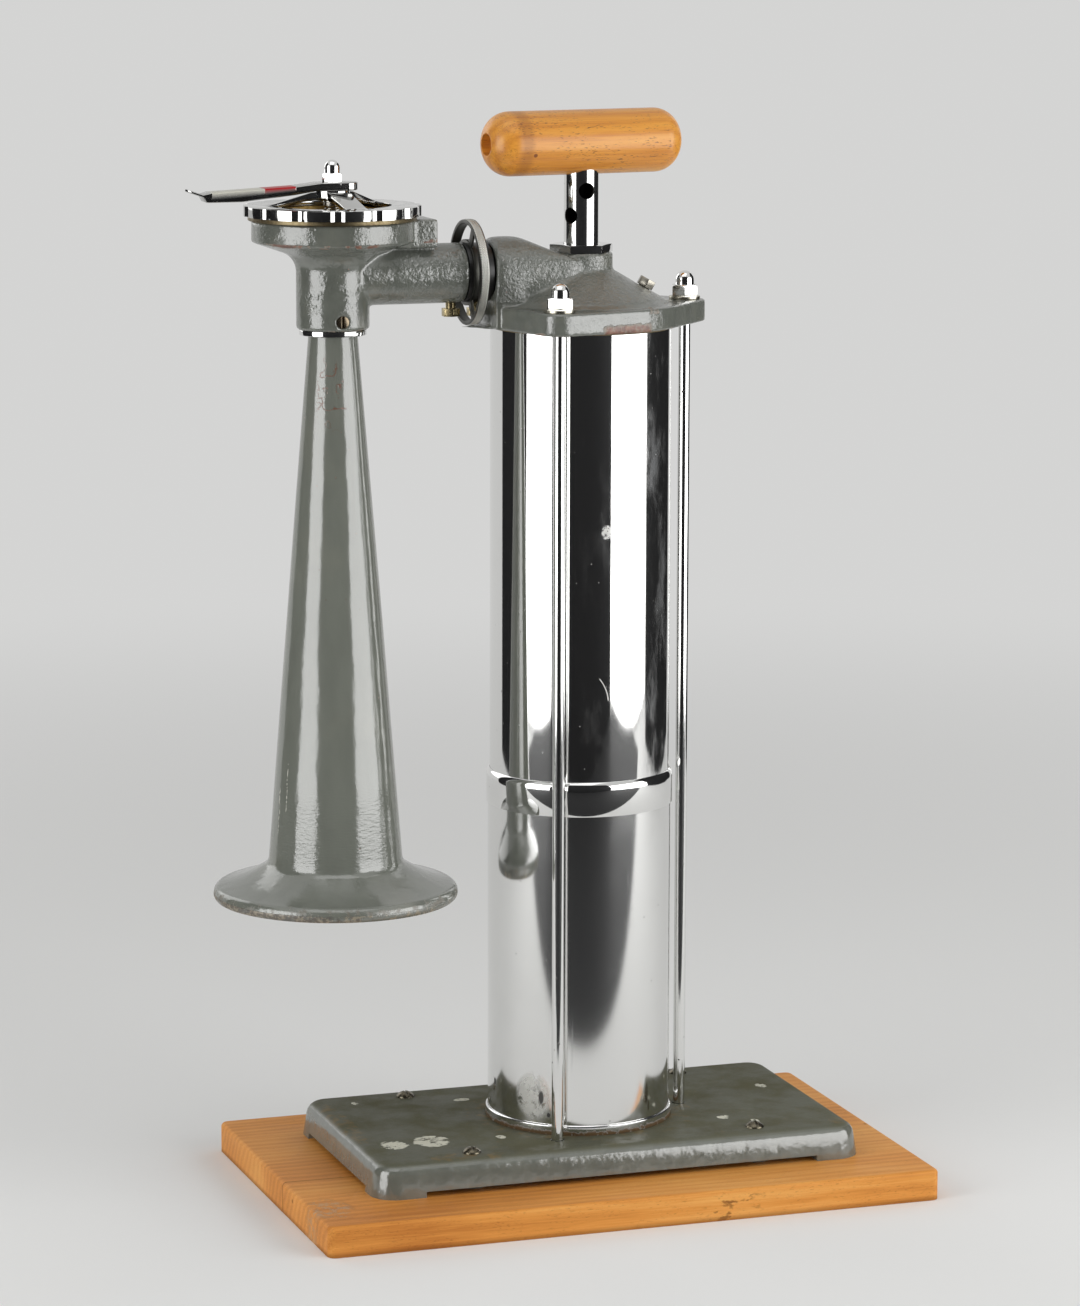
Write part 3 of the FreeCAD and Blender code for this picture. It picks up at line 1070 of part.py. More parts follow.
def adjusting_spindle():
    body = horn_piece("adjusting_spindle")
    top = "dim.hub_top + dim.lever_thickness + dim.lever_nut_height - dim.nut_roof - 0.5"
    ring(body, "0", "dim.spindle_radius", "dim.hub_low - 1", top)
    ring(body, "0", "dim.spindle_collar", "dim.hub_low - 0.1 - dim.spindle_collar_height", "dim.hub_low - 0.1")
    return body


def pressure_pad():
    return horn_ring("pressure_pad", "0", "dim.pad_radius", CLAMP_LOW, f"{CLAMP_LOW} + dim.pad_thickness")


def pad_spring():
    body = horn_piece("pad_spring")
    low = f"({CLAMP_LOW} + dim.pad_thickness)"
    high = "(dim.hub_low - 0.1 - dim.spindle_collar_height)"
    wire = "dim.spring_wire"
    coil = rounds(body, "XZ_Plane", [("dim.spring_radius", f"{low} + {wire}", wire)])
    height = f"{high} - {low} - 2 * {wire} - 0.1"
    feature(body, "AdditiveHelix", coil, ReferenceAxis=(coil, ["V_Axis"]), Mode="height-turns-angle", Height=height,
            Turns="dim.spring_turns")
    return body


def arm_bolt():
    return clamp_bolt("arm_bolt", f"{ARM_END_X} - dim.arm_bolt_at")


def sleeve_bolt():
    return clamp_bolt("sleeve_bolt", f"{ELBOW_X} - dim.sleeve_bolt_from")


PIECES = [
    wooden_board, base_plate, base_screws, tube_foot_gasket, lower_tube, tube_foot_ring, tube_joint_collar,
    tube_joint_seal, upper_tube, head_gasket, tie_rods, tie_rod_washers, tie_rod_nuts, pump_head, guide_bush,
    gland_packing, gland_nut, oil_plug, bottom_buffer, piston_disc, cup_leather, leather_retainer, piston_rod,
    piston_nut, handle_grip, handle_pin, swivel_sleeve, swivel_seal, sleeve_bolt, lock_wheel, horn_head, arm_bolt,
    neck_grub_screw, nozzle, diaphragm_gasket, diaphragm, diaphragm_ring, cap_ring, throat_ring, trumpet, bell_rim,
    cover_wheel, lever, lever_nut, adjusting_spindle, pressure_pad, pad_spring,
]

bodies = [maker() for maker in PIECES]
doc.recompute()
for thing in doc.Objects:
    if any(word in thing.State for word in ("Invalid", "Error")):
        raise RuntimeError(f"{thing.Label} failed: {thing.State}")
os.makedirs("parts", exist_ok=True)
for body in bodies:
    if body.Shape.isNull() or not body.Shape.isValid():
        raise RuntimeError(f"{body.Label} has no valid shape")
    body.Shape.exportStep(f"parts/{body.Label}.step")
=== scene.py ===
"""Looks for a hand-pumped ship's fog horn: enamel, plating, wood, castings, knurling and the studio."""

import json
import math

import bmesh
import bpy
import numpy as np
from bpy.props import FloatProperty, FloatVectorProperty, IntProperty, PointerProperty
from mathutils import Matrix, Vector

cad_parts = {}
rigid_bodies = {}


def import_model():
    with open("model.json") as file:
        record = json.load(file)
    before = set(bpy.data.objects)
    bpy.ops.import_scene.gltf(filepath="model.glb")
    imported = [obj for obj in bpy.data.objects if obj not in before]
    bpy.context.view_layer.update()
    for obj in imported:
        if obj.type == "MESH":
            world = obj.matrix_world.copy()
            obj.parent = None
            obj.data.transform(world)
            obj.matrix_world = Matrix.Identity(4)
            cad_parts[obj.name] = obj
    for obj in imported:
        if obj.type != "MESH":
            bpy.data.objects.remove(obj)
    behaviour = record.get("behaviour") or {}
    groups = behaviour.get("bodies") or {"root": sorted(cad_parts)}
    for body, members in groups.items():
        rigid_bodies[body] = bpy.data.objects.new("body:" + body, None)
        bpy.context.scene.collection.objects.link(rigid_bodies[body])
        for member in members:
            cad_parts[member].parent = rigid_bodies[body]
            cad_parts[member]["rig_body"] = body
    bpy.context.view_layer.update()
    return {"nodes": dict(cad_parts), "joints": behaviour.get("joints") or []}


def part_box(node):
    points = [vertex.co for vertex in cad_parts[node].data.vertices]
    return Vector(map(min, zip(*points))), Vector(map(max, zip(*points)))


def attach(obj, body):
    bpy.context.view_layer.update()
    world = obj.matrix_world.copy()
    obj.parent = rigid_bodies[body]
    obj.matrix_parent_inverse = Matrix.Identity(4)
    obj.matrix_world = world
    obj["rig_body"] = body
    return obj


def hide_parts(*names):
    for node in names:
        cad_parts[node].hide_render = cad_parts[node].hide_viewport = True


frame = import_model()

bl_info = {
    "name": "Fog Horn Looks",
    "version": (1, 0, 0),
    "blender": (4, 5, 0),
    "location": "View3D > Sidebar > Fog Horn",
    "description": "Dresses a hand-pumped ship's fog horn in enamel, polished plating and varnished wood",
    "category": "Object",
}

MM = 0.001
JOINTS = {joint["name"]: joint for joint in frame["joints"]}
HORN_X = JOINTS["cover_turn"]["pos_m"][0]
PLATE_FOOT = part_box("base_plate")[0].z
PLATE_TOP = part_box("tube_foot_ring")[0].z
SHEET_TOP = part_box("throat_ring")[0].z
FLANGE_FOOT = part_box("pump_head")[0].z
HEAD_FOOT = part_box("horn_head")[0].z
DISC_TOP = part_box("cap_ring")[0].z
HANDLE_YAW = math.radians(8)
EDGE_ANGLE = math.radians(28)
ENAMEL_IOR = 1.95
BLACK = (0.0, 0.0, 0.0, 1.0)


def display(red, green, blue):
    """A colour as it looks on a screen, 0 to 255, in the light values that shaders take."""
    share = np.array([red, green, blue]) / 255
    light = np.where(share <= 0.04045, share / 12.92, ((share + 0.055) / 1.055) ** 2.4)
    return (*light.tolist(), 1.0)


def shade(colour, share):
    """A colour made darker or lighter by a share."""
    return (*(part * share for part in colour[:3]), 1.0)


class Wire:
    """A node's output. Arithmetic on it adds Math nodes to its finish."""

    def __init__(self, finish, socket):
        self.finish, self.socket = finish, socket

    def maths(self, operation, *values):
        """A Math node on the given values."""
        return self.finish.node("ShaderNodeMath", {"operation": operation}, dict(enumerate(values)))

    def __add__(self, other):
        return self.maths("ADD", self, other)

    def __sub__(self, other):
        return self.maths("SUBTRACT", self, other)

    def __rsub__(self, other):
        return self.maths("SUBTRACT", other, self)

    def __mul__(self, other):
        return self.maths("MULTIPLY", self, other)

    def __abs__(self):
        return self.maths("ABSOLUTE", self)

    __radd__, __rmul__ = __add__, __mul__

    def most(self, other):
        return self.maths("MAXIMUM", self, other)

    def least(self, other):
        return self.maths("MINIMUM", self, other)

    def held(self):
        """The value kept between 0 and 1."""
        return self.most(0.0).least(1.0)

    def sine(self):
        return self.maths("SINE", self)


class Finish:
    """A procedural material. Patterns are on Object coordinates, in metres, and grains in millimetres."""

    def __init__(self, name, owner=None):
        self.material = owner or bpy.data.materials.new(name)
        self.material.use_nodes = True
        self.tree = self.material.node_tree
        self.tree.nodes.clear()
        self.spot = self.node("ShaderNodeTexCoord", output="Object")

    def node(self, kind, settings=None, values=None, output=0):
        """Adds a node: its settings first, then its sockets' values or links. Gives one of its outputs."""
        made = self.tree.nodes.new(kind)
        for name, setting in (settings or {}).items():
            setattr(made, name, setting)
        for place, value in (values or {}).items():
            if isinstance(value, Wire):
                self.tree.links.new(value.socket, made.inputs[place])
            else:
                made.inputs[place].default_value = value
        return Wire(self, made.outputs[output])

    def across(self, stretch=(1, 1, 1), turn=(0, 0, 0), shift=(0, 0, 0)):
        """Object coordinates, stretched, turned and shifted."""
        values = {"Vector": self.spot, "Scale": stretch, "Rotation": turn, "Location": shift}
        return self.node("ShaderNodeMapping", {}, values)

    def length(self, vector):
        """How long a vector is."""
        return self.node("ShaderNodeVectorMath", {"operation": "LENGTH"}, {0: vector}, "Value")

    def facing(self, name):
        """One part of the surface's own direction: X, Y or Z."""
        return self.axis(name, self.node("ShaderNodeNewGeometry", output="Normal"))

    def around(self, centre=0.0):
        """Compass angle round an upright axis at X = centre, in radians: 0 in front, growing to the right."""
        across, deep = self.axis("X") - centre, self.axis("Y") * -1.0
        return across.maths("ARCTAN2", across, deep)

    def oval(self, across, up, place, size):
        """1 inside a soft oval of two coordinates, 0 outside."""
        first, second = (across - place[0]) * (1 / size[0]), (up - place[1]) * (1 / size[1])
        return self.rise(first * first + second * second, 1.3, 0.5)

    def ovals(self, table):
        """The largest of soft ovals seen from above: (x, y, half length, half width) in mm."""
        across, deep, whole = self.axis("X"), self.axis("Y"), None
        for x, y, long, wide in table:
            one = self.oval(across, deep, (x * MM, y * MM), (long * MM, wide * MM))
            whole = one if whole is None else whole.most(one)
        return whole

    def marks(self, angle, height, table):
        """The largest of soft ovals on a turned surface: (degrees, mm, half width in degrees, half mm)."""
        whole = None
        for turn, level, wide, tall in table:
            size = (math.radians(wide), tall * MM)
            one = self.oval(angle, height, (math.radians(turn), level * MM), size)
            whole = one if whole is None else whole.most(one)
        return whole

    def looked_at(self):
        """1 where the camera, a mirror or glass looks, 0 where only light falls."""
        rays = [self.node("ShaderNodeLightPath", output=kind + " Ray")
                for kind in ("Is Camera", "Is Glossy", "Is Transmission")]
        return rays[0].most(rays[1]).most(rays[2])

    def axis(self, name, where=None):
        """One of the three coordinates, in metres."""
        return self.node("ShaderNodeSeparateXYZ", {}, {0: where or self.spot}, name)

    def noise(self, grain, where=None, detail=4.0, rough=0.5, twist=0.0):
        """Soft cloud noise whose lumps are about grain millimetres wide, from 0 to 1."""
        values = {"Vector": where or self.spot, "Scale": 1 / (grain * MM), "Detail": detail,
                  "Roughness": rough, "Distortion": twist}
        return self.node("ShaderNodeTexNoise", {}, values, "Fac")

    def cells(self, grain):
        """Distance to the nearest of scattered points about grain millimetres apart."""
        values = {"Vector": self.spot, "Scale": 1 / (grain * MM), "Randomness": 1.0}
        return self.node("ShaderNodeTexVoronoi", {"feature": "F1"}, values, "Distance")

    def rise(self, value, low, high):
        """0 below low, 1 above high, with a smooth step between. High may be the lower of the two."""
        if high < low:
            return 1 - self.rise(value, high, low)
        values = {"Value": value, "From Min": low, "From Max": high}
        return self.node("ShaderNodeMapRange", {"interpolation_type": "SMOOTHSTEP"}, values)

    def band(self, value, low, high, edge):
        """1 between low and high, 0 outside, with soft edges."""
        return self.rise(value, low - edge, low + edge) * self.rise(value, high + edge, high - edge)

    def mixed(self, mask, first, second):
        """First colour where the mask is 0, second where it is 1."""
        colour_a, colour_b, colour_out = 6, 7, 2
        values = {"Factor": mask, colour_a: first, colour_b: second}
        return self.node("ShaderNodeMix", {"data_type": "RGBA"}, values, colour_out)

    def shaded(self, value, stops):
        """A colour ramp through (place, colour) stops."""
        made = self.node("ShaderNodeValToRGB", {}, {"Fac": value}, "Color")
        ramp = made.socket.node.color_ramp
        while len(ramp.elements) < len(stops):
            ramp.elements.new(1.0)
        for element, (place, colour) in zip(ramp.elements, stops):
            element.position, element.color = place, colour
        return made

    def relief(self, height, depth, below=None):
        """A bump of a given depth in millimetres, on top of another bump if there is one."""
        values = {"Height": height, "Distance": depth * MM, "Strength": 1.0}
        if below is not None:
            values["Normal"] = below
        return self.node("ShaderNodeBump", {}, values)

    def done(self, **values):
        """Ends in a Principled shader. Keywords are its socket names, with _ for a space."""
        named = {name.replace("_", " "): value for name, value in values.items()}
        self.ends(self.node("ShaderNodeBsdfPrincipled", {}, named), "ShaderNodeOutputMaterial")
        return self.material

    def ends(self, shader, kind):
        """Links a shader to an output node."""
        out = self.tree.nodes.new(kind)
        self.tree.links.new(shader.socket, out.inputs["Surface"])


# Enamel

def rusty(f, hue, ragged, core):
    """Bare primer where the paint is chipped, and mottled rust in the middle of the chip."""
    rust = f.shaded(f.noise(5.0, detail=5.0), [(0.3, display(74, 44, 30)), (0.55, display(122, 72, 48)),
                                               (0.75, display(156, 118, 92))])
    return f.mixed(core, f.mixed(ragged, hue, display(126, 114, 100)), rust)


def enamel(name, colour, grain, depth, rugged, chips):
    """Glossy grey enamel over a casting. Rugged says how rough its skin is, chips where it has come off."""
    f = Finish(name)
    swell = f.noise(grain * 4.5, detail=2.0)
    skin = f.noise(grain, detail=3.0, rough=0.55, twist=0.4)
    peel = f.noise(grain * 0.35, detail=2.0)
    dust = f.rise(f.noise(26, detail=6.0, rough=0.65), 0.5, 0.78)
    pits = f.rise(f.cells(8.0), 0.085, 0.03) * f.rise(f.noise(55), 0.52, 0.64)
    fine = f.noise(4.5, detail=6.0, rough=0.7) * 0.7
    mask = chips(f).most(pits)
    ragged = f.rise(mask + fine, 0.86, 0.98)
    core = f.rise(mask + f.noise(3.0, detail=5.0, rough=0.7) * 0.7, 0.98, 1.10)
    hue = f.mixed(f.rise(swell, 0.3, 0.75), colour, shade(colour, 0.84))
    hue = rusty(f, f.mixed(dust * 0.25, hue, display(134, 130, 114)), ragged, core)
    height = swell * 0.9 + skin * rugged(f) + peel * 0.20 - ragged * 0.2
    return f.done(Base_Color=hue, Roughness=(0.12 + dust * 0.12 + ragged * 0.4).held(), IOR=ENAMEL_IOR,
                  Normal=f.relief(height, depth))


def head_skin(f):
    """Rough all over the pump head but nearly smooth on its flange."""
    flange = f.band(f.axis("Z"), FLANGE_FOOT - 4 * MM, FLANGE_FOOT + 18.5 * MM, MM)
    return 1.25 - flange * 0.95


def horn_skin(f):
    """Rippled on the horn head's arm, with smooth and rough patches on its housing and neck."""
    arm = f.rise(f.axis("X"), HORN_X + 35.5 * MM, HORN_X + 47.5 * MM)
    return 0.12 + f.rise(f.noise(15, detail=3.0), 0.46, 0.58) * 0.75 + arm * 0.9


def flange_chips(f):
    """Rust along the lower edge of the head's flange, mostly at its front."""
    height, along = f.axis("Z") - FLANGE_FOOT, f.axis("X")
    front = f.rise(f.axis("Y"), -30 * MM, -55 * MM)
    low, rim = f.rise(height, 13 * MM, 3 * MM), f.rise(height, 4.5 * MM, MM)
    wide = f.band(along, -12 * MM, 32 * MM, 7 * MM)
    small = f.band(along, -54.5 * MM, -49.5 * MM, 2 * MM).most(f.band(along, 46 * MM, 50 * MM, 2 * MM))
    upper = f.band(height, 11.5 * MM, 16.5 * MM, MM) * f.band(along, 24 * MM, 38 * MM, 4 * MM)
    return (front * (low * wide * 0.74 + rim * small * 0.7 + upper * 0.55)).held()


def disc_chips(f):
    """Primer showing along the lower edge of the horn head's housing and of its neck."""
    height = f.axis("Z")
    low = f.band(height, DISC_TOP - 16.1 * MM, DISC_TOP - 12.9 * MM, 0.9 * MM)
    top = f.band(height, DISC_TOP - 1.6 * MM, DISC_TOP + 0.9 * MM, 0.6 * MM)
    foot = f.band(height, HEAD_FOOT - 0.7 * MM, HEAD_FOOT + 1.6 * MM, 0.8 * MM)
    return ((low + top * 0.6 + foot * 0.7) * f.rise(f.noise(16, detail=5.0), 0.42, 0.56) * 0.8).held()


# Soft ovals on the base plate: x, y, half length and half width, in mm
PLATE_CHIPS = ((-150, -44, 11, 13), (-122, -42, 15, 16), (-144, 69, 3, 5), (-69, 55, 7, 4), (-73, -47, 4, 5),
               (148, 24, 5, 6), (92, -47, 5, 6), (110, -63, 3, 7))
PLATE_STAINS = ((-119, -84, 19, 9), (-90, -88, 7, 7), (-168, 20, 9, 60), (164, -80, 6, 9), (0, 0, 80, 80))


def base_enamel(name, colour):
    """The base's enamel: a darker olive on its top faces as painted shade, dusty there too, with stains, pale
    chips, and bare brown patches along its edges.
    """
    f = Finish(name)
    height = f.axis("Z")
    up = f.rise(f.facing("Z"), 0.6, 0.95)
    swell = f.noise(11, detail=2.0)
    grain = f.noise(3.2, detail=4.0, rough=0.6)
    speckle = f.rise(f.noise(1.3, detail=3.0, rough=0.6), 0.55, 0.72)
    cloud = f.rise(f.noise(42, detail=6.0, rough=0.65), 0.35, 0.7)
    ragged = f.noise(9, detail=6.0, rough=0.7)
    stain = f.rise(ragged + f.ovals(PLATE_STAINS) * 0.17, 0.60, 0.78) * up
    cracked = f.noise(7, f.across((1, 1.4, 1)), detail=7.0, rough=0.72, twist=0.5)
    pale = f.rise(cracked + f.ovals(PLATE_CHIPS) * 0.36, 0.80, 0.815) * up
    edge = f.band(height, PLATE_TOP - 8.5 * MM, PLATE_TOP - MM, 3 * MM)
    edge = edge * f.rise(f.noise(20, detail=6.0), 0.56, 0.7)
    foot = f.rise(height, PLATE_FOOT + 4.7 * MM, PLATE_FOOT + 0.7 * MM)
    foot = foot * f.rise(f.noise(15, detail=4.0), 0.45, 0.6)
    worn = f.rise(edge * 0.35 + foot * 0.5 + f.noise(4.5, detail=6.0, rough=0.7) * 0.7, 0.82, 0.95)
    hue = f.mixed(f.rise(swell, 0.3, 0.7), colour, shade(colour, 0.84))
    # painted shade: the top faces are mixed to a darker olive than the sides, for the shade the top shows
    hue = f.mixed(up, hue, display(84, 85, 71))
    hue = f.mixed((cloud * 0.4 + speckle * 0.35) * up, hue, display(112, 108, 88))
    hue = f.mixed(stain * 0.6, hue, display(122, 102, 68))
    hue = f.mixed(worn * 0.5, hue, display(118, 108, 92))
    hue = f.mixed(pale, hue, display(206, 204, 188))
    rough = 0.15 + up * 0.25 + worn * 0.3 + pale * 0.3
    relief = f.relief(swell * 0.8 + grain * (0.06 + up * 0.4) + pale * -0.3 + worn * -0.1, 0.6)
    glossy = {"Base Color": hue, "Roughness": rough.held(), "Normal": relief, "IOR": ENAMEL_IOR}
    dusty = {"Base Color": hue, "Roughness": 0.8, "Normal": relief, "Specular IOR Level": 0.0}
    gloss = f.node("ShaderNodeBsdfPrincipled", {}, glossy)
    dust = f.node("ShaderNodeBsdfPrincipled", {}, dusty)
    f.ends(f.node("ShaderNodeMixShader", {}, {0: up * (0.62 + cloud * 0.38), 1: gloss, 2: dust}),
           "ShaderNodeOutputMaterial")
    return f.material


def dotted_line(f, angle, height, turn, low, high, wander):
    """A thin broken upright line on the trumpet, at a compass angle in degrees, between two heights in mm."""
    bent = angle + (f.noise(9, detail=2.0) - 0.5) * wander
    thin = f.rise(abs(bent - math.radians(turn)), 0.009, 0.004)
    return thin * f.band(height, low * MM, high * MM, 2 * MM) * f.rise(f.noise(1.6, detail=2.0), 0.44, 0.52)


def trumpet_enamel(name, colour):
    """The trumpet's smoother enamel: rust high up, thin pale cracks low down, wrinkles over the flare."""
    f = Finish(name)
    height, angle = f.axis("Z"), f.around(HORN_X)
    swell = f.noise(15, f.across((1, 1, 0.4)), detail=2.0)
    peel = f.noise(2.6, detail=2.0, rough=0.5)
    wrinkle = f.noise(1.5, f.across((0.3, 0.3, 1)), detail=3.0)
    wrinkle = wrinkle * f.band(height, 234 * MM, 292 * MM, 12 * MM)
    high = f.band(height, 545 * MM, 585 * MM, 10 * MM) * f.band(angle, -0.85, 0.15, 0.15)
    curl = f.rise(abs(f.noise(13, detail=3.0) - 0.5), 0.018, 0.009) * high * f.rise(f.noise(20), 0.44, 0.5)
    freckle = f.rise(f.cells(9.0), 0.10, 0.05) * f.rise(f.noise(35), 0.47, 0.6)
    freckle = freckle * f.rise(height, 360 * MM, 500 * MM)
    pits = f.rise(f.cells(13), 0.07, 0.03) * f.rise(f.noise(40), 0.48, 0.6)
    crack = dotted_line(f, angle, height, -68, 278, 311, 0.10)
    crack = crack.most(dotted_line(f, angle, height, -79, 262, 292, 0.16))
    lip = f.rise(height, 225 * MM, 219.5 * MM)
    worn = f.rise(f.noise(8, detail=6.0, rough=0.75) + lip * 0.22, 0.70, 0.82)
    hue = f.mixed(f.rise(swell, 0.3, 0.75), colour, shade(colour, 0.9))
    hue = f.mixed(f.rise(f.noise(52, detail=5.0), 0.5, 0.8) * 0.2, hue, display(140, 138, 124))
    hue = f.mixed(curl.most(freckle * 0.8).most(pits * 0.6), hue, display(104, 66, 46))
    hue = f.mixed(worn * 0.7, hue, display(96, 88, 74))
    hue = f.mixed(crack, hue, display(206, 202, 190))
    rough = 0.15 + (curl.most(freckle) + pits) * 0.25 + worn * 0.3 + crack * 0.3
    bumps = swell * 0.9 + peel * 0.10 + wrinkle * 0.34 - pits * 0.12 - curl * 0.1 - worn * 0.1
    return f.done(Base_Color=hue, Roughness=rough.held(), Normal=f.relief(bumps, 0.5), IOR=ENAMEL_IOR)


def worn_rim(name, colour):
    """The bell's folded edge: grey enamel rubbed down to beige and dark brown, most of all at its left."""
    f = Finish(name)
    patch = f.noise(12, detail=6.0, rough=0.75)
    fine = f.noise(2.4, detail=5.0, rough=0.7)
    left = f.rise(f.axis("X"), HORN_X + 20 * MM, HORN_X - 50 * MM) * 0.10
    bare = f.rise(patch + left, 0.52, 0.6)
    dark = f.rise(fine + left * 1.5, 0.58, 0.68)
    hue = f.mixed(bare, colour, display(134, 124, 104))
    hue = f.mixed(dark * 0.8, hue, display(62, 54, 46))
    rough = bare * 0.2 + dark * 0.2 + 0.22
    return f.done(Base_Color=hue, Roughness=rough, Normal=f.relief(patch + fine * 0.5, 0.5), IOR=ENAMEL_IOR)


# Metal

def plating(name, colour=(0.80, 0.80, 0.79, 1), rough=0.04, scuffs=0.5, extra=None, pitted=0.3):
    """Polished plating with hairlines, smudges and small pits. Extra adds a part's own marks."""
    f = Finish(name)
    smudge = f.rise(f.noise(38, detail=5.0, rough=0.6), 0.48, 0.8)
    hair = f.rise(f.noise(2.2, f.across((1, 1, 0.03)), detail=3.0), 0.62, 0.74)
    pits = f.rise(f.cells(7.0), 0.13, 0.05) * f.rise(f.noise(30), 0.52, 0.66) * pitted
    hue = f.mixed((pits * 1.6).held(), colour, display(70, 66, 60))
    hue = f.mixed(smudge * 0.10 * scuffs, hue, display(150, 148, 142))
    coarse = rough + smudge * 0.07 * scuffs + hair * 0.07 * scuffs + pits * 0.5
    dull = pits * 0.2
    if extra is not None:
        hue, coarse, dull = extra(f, hue, coarse)
    relief = f.relief(f.noise(55, detail=1.0) * 0.10 - pits * 0.12, 0.3)
    return f.done(Base_Color=hue, Metallic=(1 - dull).held(), Roughness=coarse.held(), Normal=relief)


def lower_marks(f, hue, coarse):
    """A dull patch, a few dark dents and brown dirt where the lower tube stands in its ring."""
    height, angle = f.axis("Z"), f.around()
    dull = f.marks(angle, height, ((-49, 70, 12, 17),)) * f.rise(f.noise(7, detail=5.0, rough=0.7), 0.35, 0.5)
    spots = ((-43, 70, 1.8, 5), (-85, 73, 1.6, 3), (-95, 57, 1.6, 3), (-38, 58, 1.2, 2))
    dent = f.marks(angle, height, spots)
    brown = f.marks(angle, height, ((29, 69, 1.6, 8), (31, 60, 1.0, 4)))
    foot = f.rise(height, PLATE_TOP + 5.5 * MM, PLATE_TOP + MM)
    dirt = f.rise(f.noise(4, detail=5.0, rough=0.7) + foot * 0.35, 0.62, 0.8)
    dirt = dirt * f.rise(height, PLATE_TOP + 7.5 * MM, PLATE_TOP + 1.5 * MM)
    hue = f.mixed(dull * 0.5, hue, display(190, 188, 180))
    hue = f.mixed(dent * 0.9, hue, display(52, 50, 48))
    hue = f.mixed((brown * 0.6).most(dirt), hue, display(104, 82, 56))
    return hue, coarse + dull * 0.22 + dent * 0.2 + dirt * 0.4, (dull * 0.3 + dirt * 0.7).held()


def upper_marks(f, hue, coarse):
    """A white smear at the front, a thin hooked scratch below it and a smoky veil down the right side."""
    height, angle = f.axis("Z"), f.around()
    smear = f.marks(angle, height, ((-2.6, 467, 3.2, 5),))
    smear = smear * f.rise(f.noise(2.6, detail=6.0, rough=0.8), 0.42, 0.52)
    up = height - 350 * MM
    hook = up * up * 380.0
    scratch = f.rise(abs(angle + 0.018 + hook), 0.008, 0.004) * f.band(up, MM, 16 * MM, MM)
    cloud = f.noise(16, f.across((1, 1, 0.3)), detail=6.0, rough=0.7)
    veil = f.rise(cloud, 0.46, 0.7) * f.band(angle, 0.48, 0.92, 0.08)
    veil = veil.most(f.rise(cloud, 0.5, 0.75) * f.band(angle, -0.28, 0.02, 0.08) * 0.4)
    speck = f.rise(f.cells(6.0), 0.075, 0.04) * f.rise(f.noise(25), 0.5, 0.62) * 0.6
    pale = smear.most(scratch).most(speck)
    hue = f.mixed(veil * 0.5, hue, display(150, 154, 160))
    hue = f.mixed(pale, hue, display(214, 214, 210))
    return hue, coarse + veil * 0.16 + pale * 0.4, (veil * 0.16 + pale * 0.9).held()


def rod_marks(f, hue, coarse):
    """The dark bore and air holes of the hollow piston rod."""
    rod_radius = 12 * MM
    inside = f.rise(f.length(f.across((1, 1, 0))), rod_radius - 0.1 * MM, rod_radius - 0.7 * MM)
    return f.mixed(inside, hue, display(30, 26, 22)), coarse + inside * 0.5, inside * 0.9


def striped_lever(name):
    """Plated lever with a red and a white painted band, scratched at their edges."""
    f = Finish(name)
    tip, meeting, root = HORN_X - 85.5 * MM, HORN_X - 48.9 * MM, HORN_X - 27.3 * MM
    wander = (f.noise(3.5, detail=5.0) - 0.5) * (3 * MM)
    along = f.axis("X") + wander
    face = f.rise(f.facing("Z"), -0.1, 0.2)
    red = f.band(along, meeting, root, 0.3 * MM) * face
    white = f.band(along, tip, meeting, 0.3 * MM) * face
    paint = red.most(white)
    chips = f.rise(f.noise(3.2, detail=6.0, rough=0.75), 0.66, 0.7) * paint
    smudge = f.rise(f.noise(20, detail=5.0), 0.45, 0.8)
    pits = f.rise(f.cells(4.0), 0.14, 0.06) * f.rise(f.noise(14), 0.5, 0.62)
    hue = f.mixed(pits, (0.42, 0.42, 0.41, 1), display(60, 56, 52))
    hue = f.mixed(red, hue, display(178, 28, 34))
    hue = f.mixed(white, hue, display(206, 204, 192))
    hue = f.mixed(chips, hue, display(60, 58, 56))
    rough = 0.08 + paint * 0.22 + smudge * 0.08 + pits * 0.3
    relief = f.relief(paint - pits * 0.6, 0.12)
    return f.done(Base_Color=hue, Metallic=1 - paint, Roughness=rough, Normal=relief, Specular_IOR_Level=0.1)


def brass(name, colour, rough=0.3, stained=0.75):
    """Dull brass with brown stain in its hollows."""
    f = Finish(name)
    stain = f.rise(f.noise(5, detail=6.0, rough=0.7), 0.45, 0.75)
    hue = f.mixed(stain * stained, colour, display(84, 66, 42))
    relief = f.relief(f.noise(1.4, detail=4.0), 0.12)
    return f.done(Base_Color=hue, Metallic=1.0, Roughness=(stain * 0.25 + rough).held(), Normal=relief)


def turned_steel(name, colour, rusted=0.6, rough=0.27):
    """Plain steel with fine marks and a little rust."""
    f = Finish(name)
    rust = f.rise(f.noise(4.5, detail=6.0, rough=0.75), 0.6, 0.74) * rusted
    hue = f.mixed(rust, colour, display(110, 82, 58))
    relief = f.relief(f.noise(0.9, detail=3.0), 0.06)
    coarse = (rust * 0.35 + rough).held()
    return f.done(Base_Color=hue, Metallic=1 - rust * 0.6, Roughness=coarse, Normal=relief)


# Wood, rubber and cloth

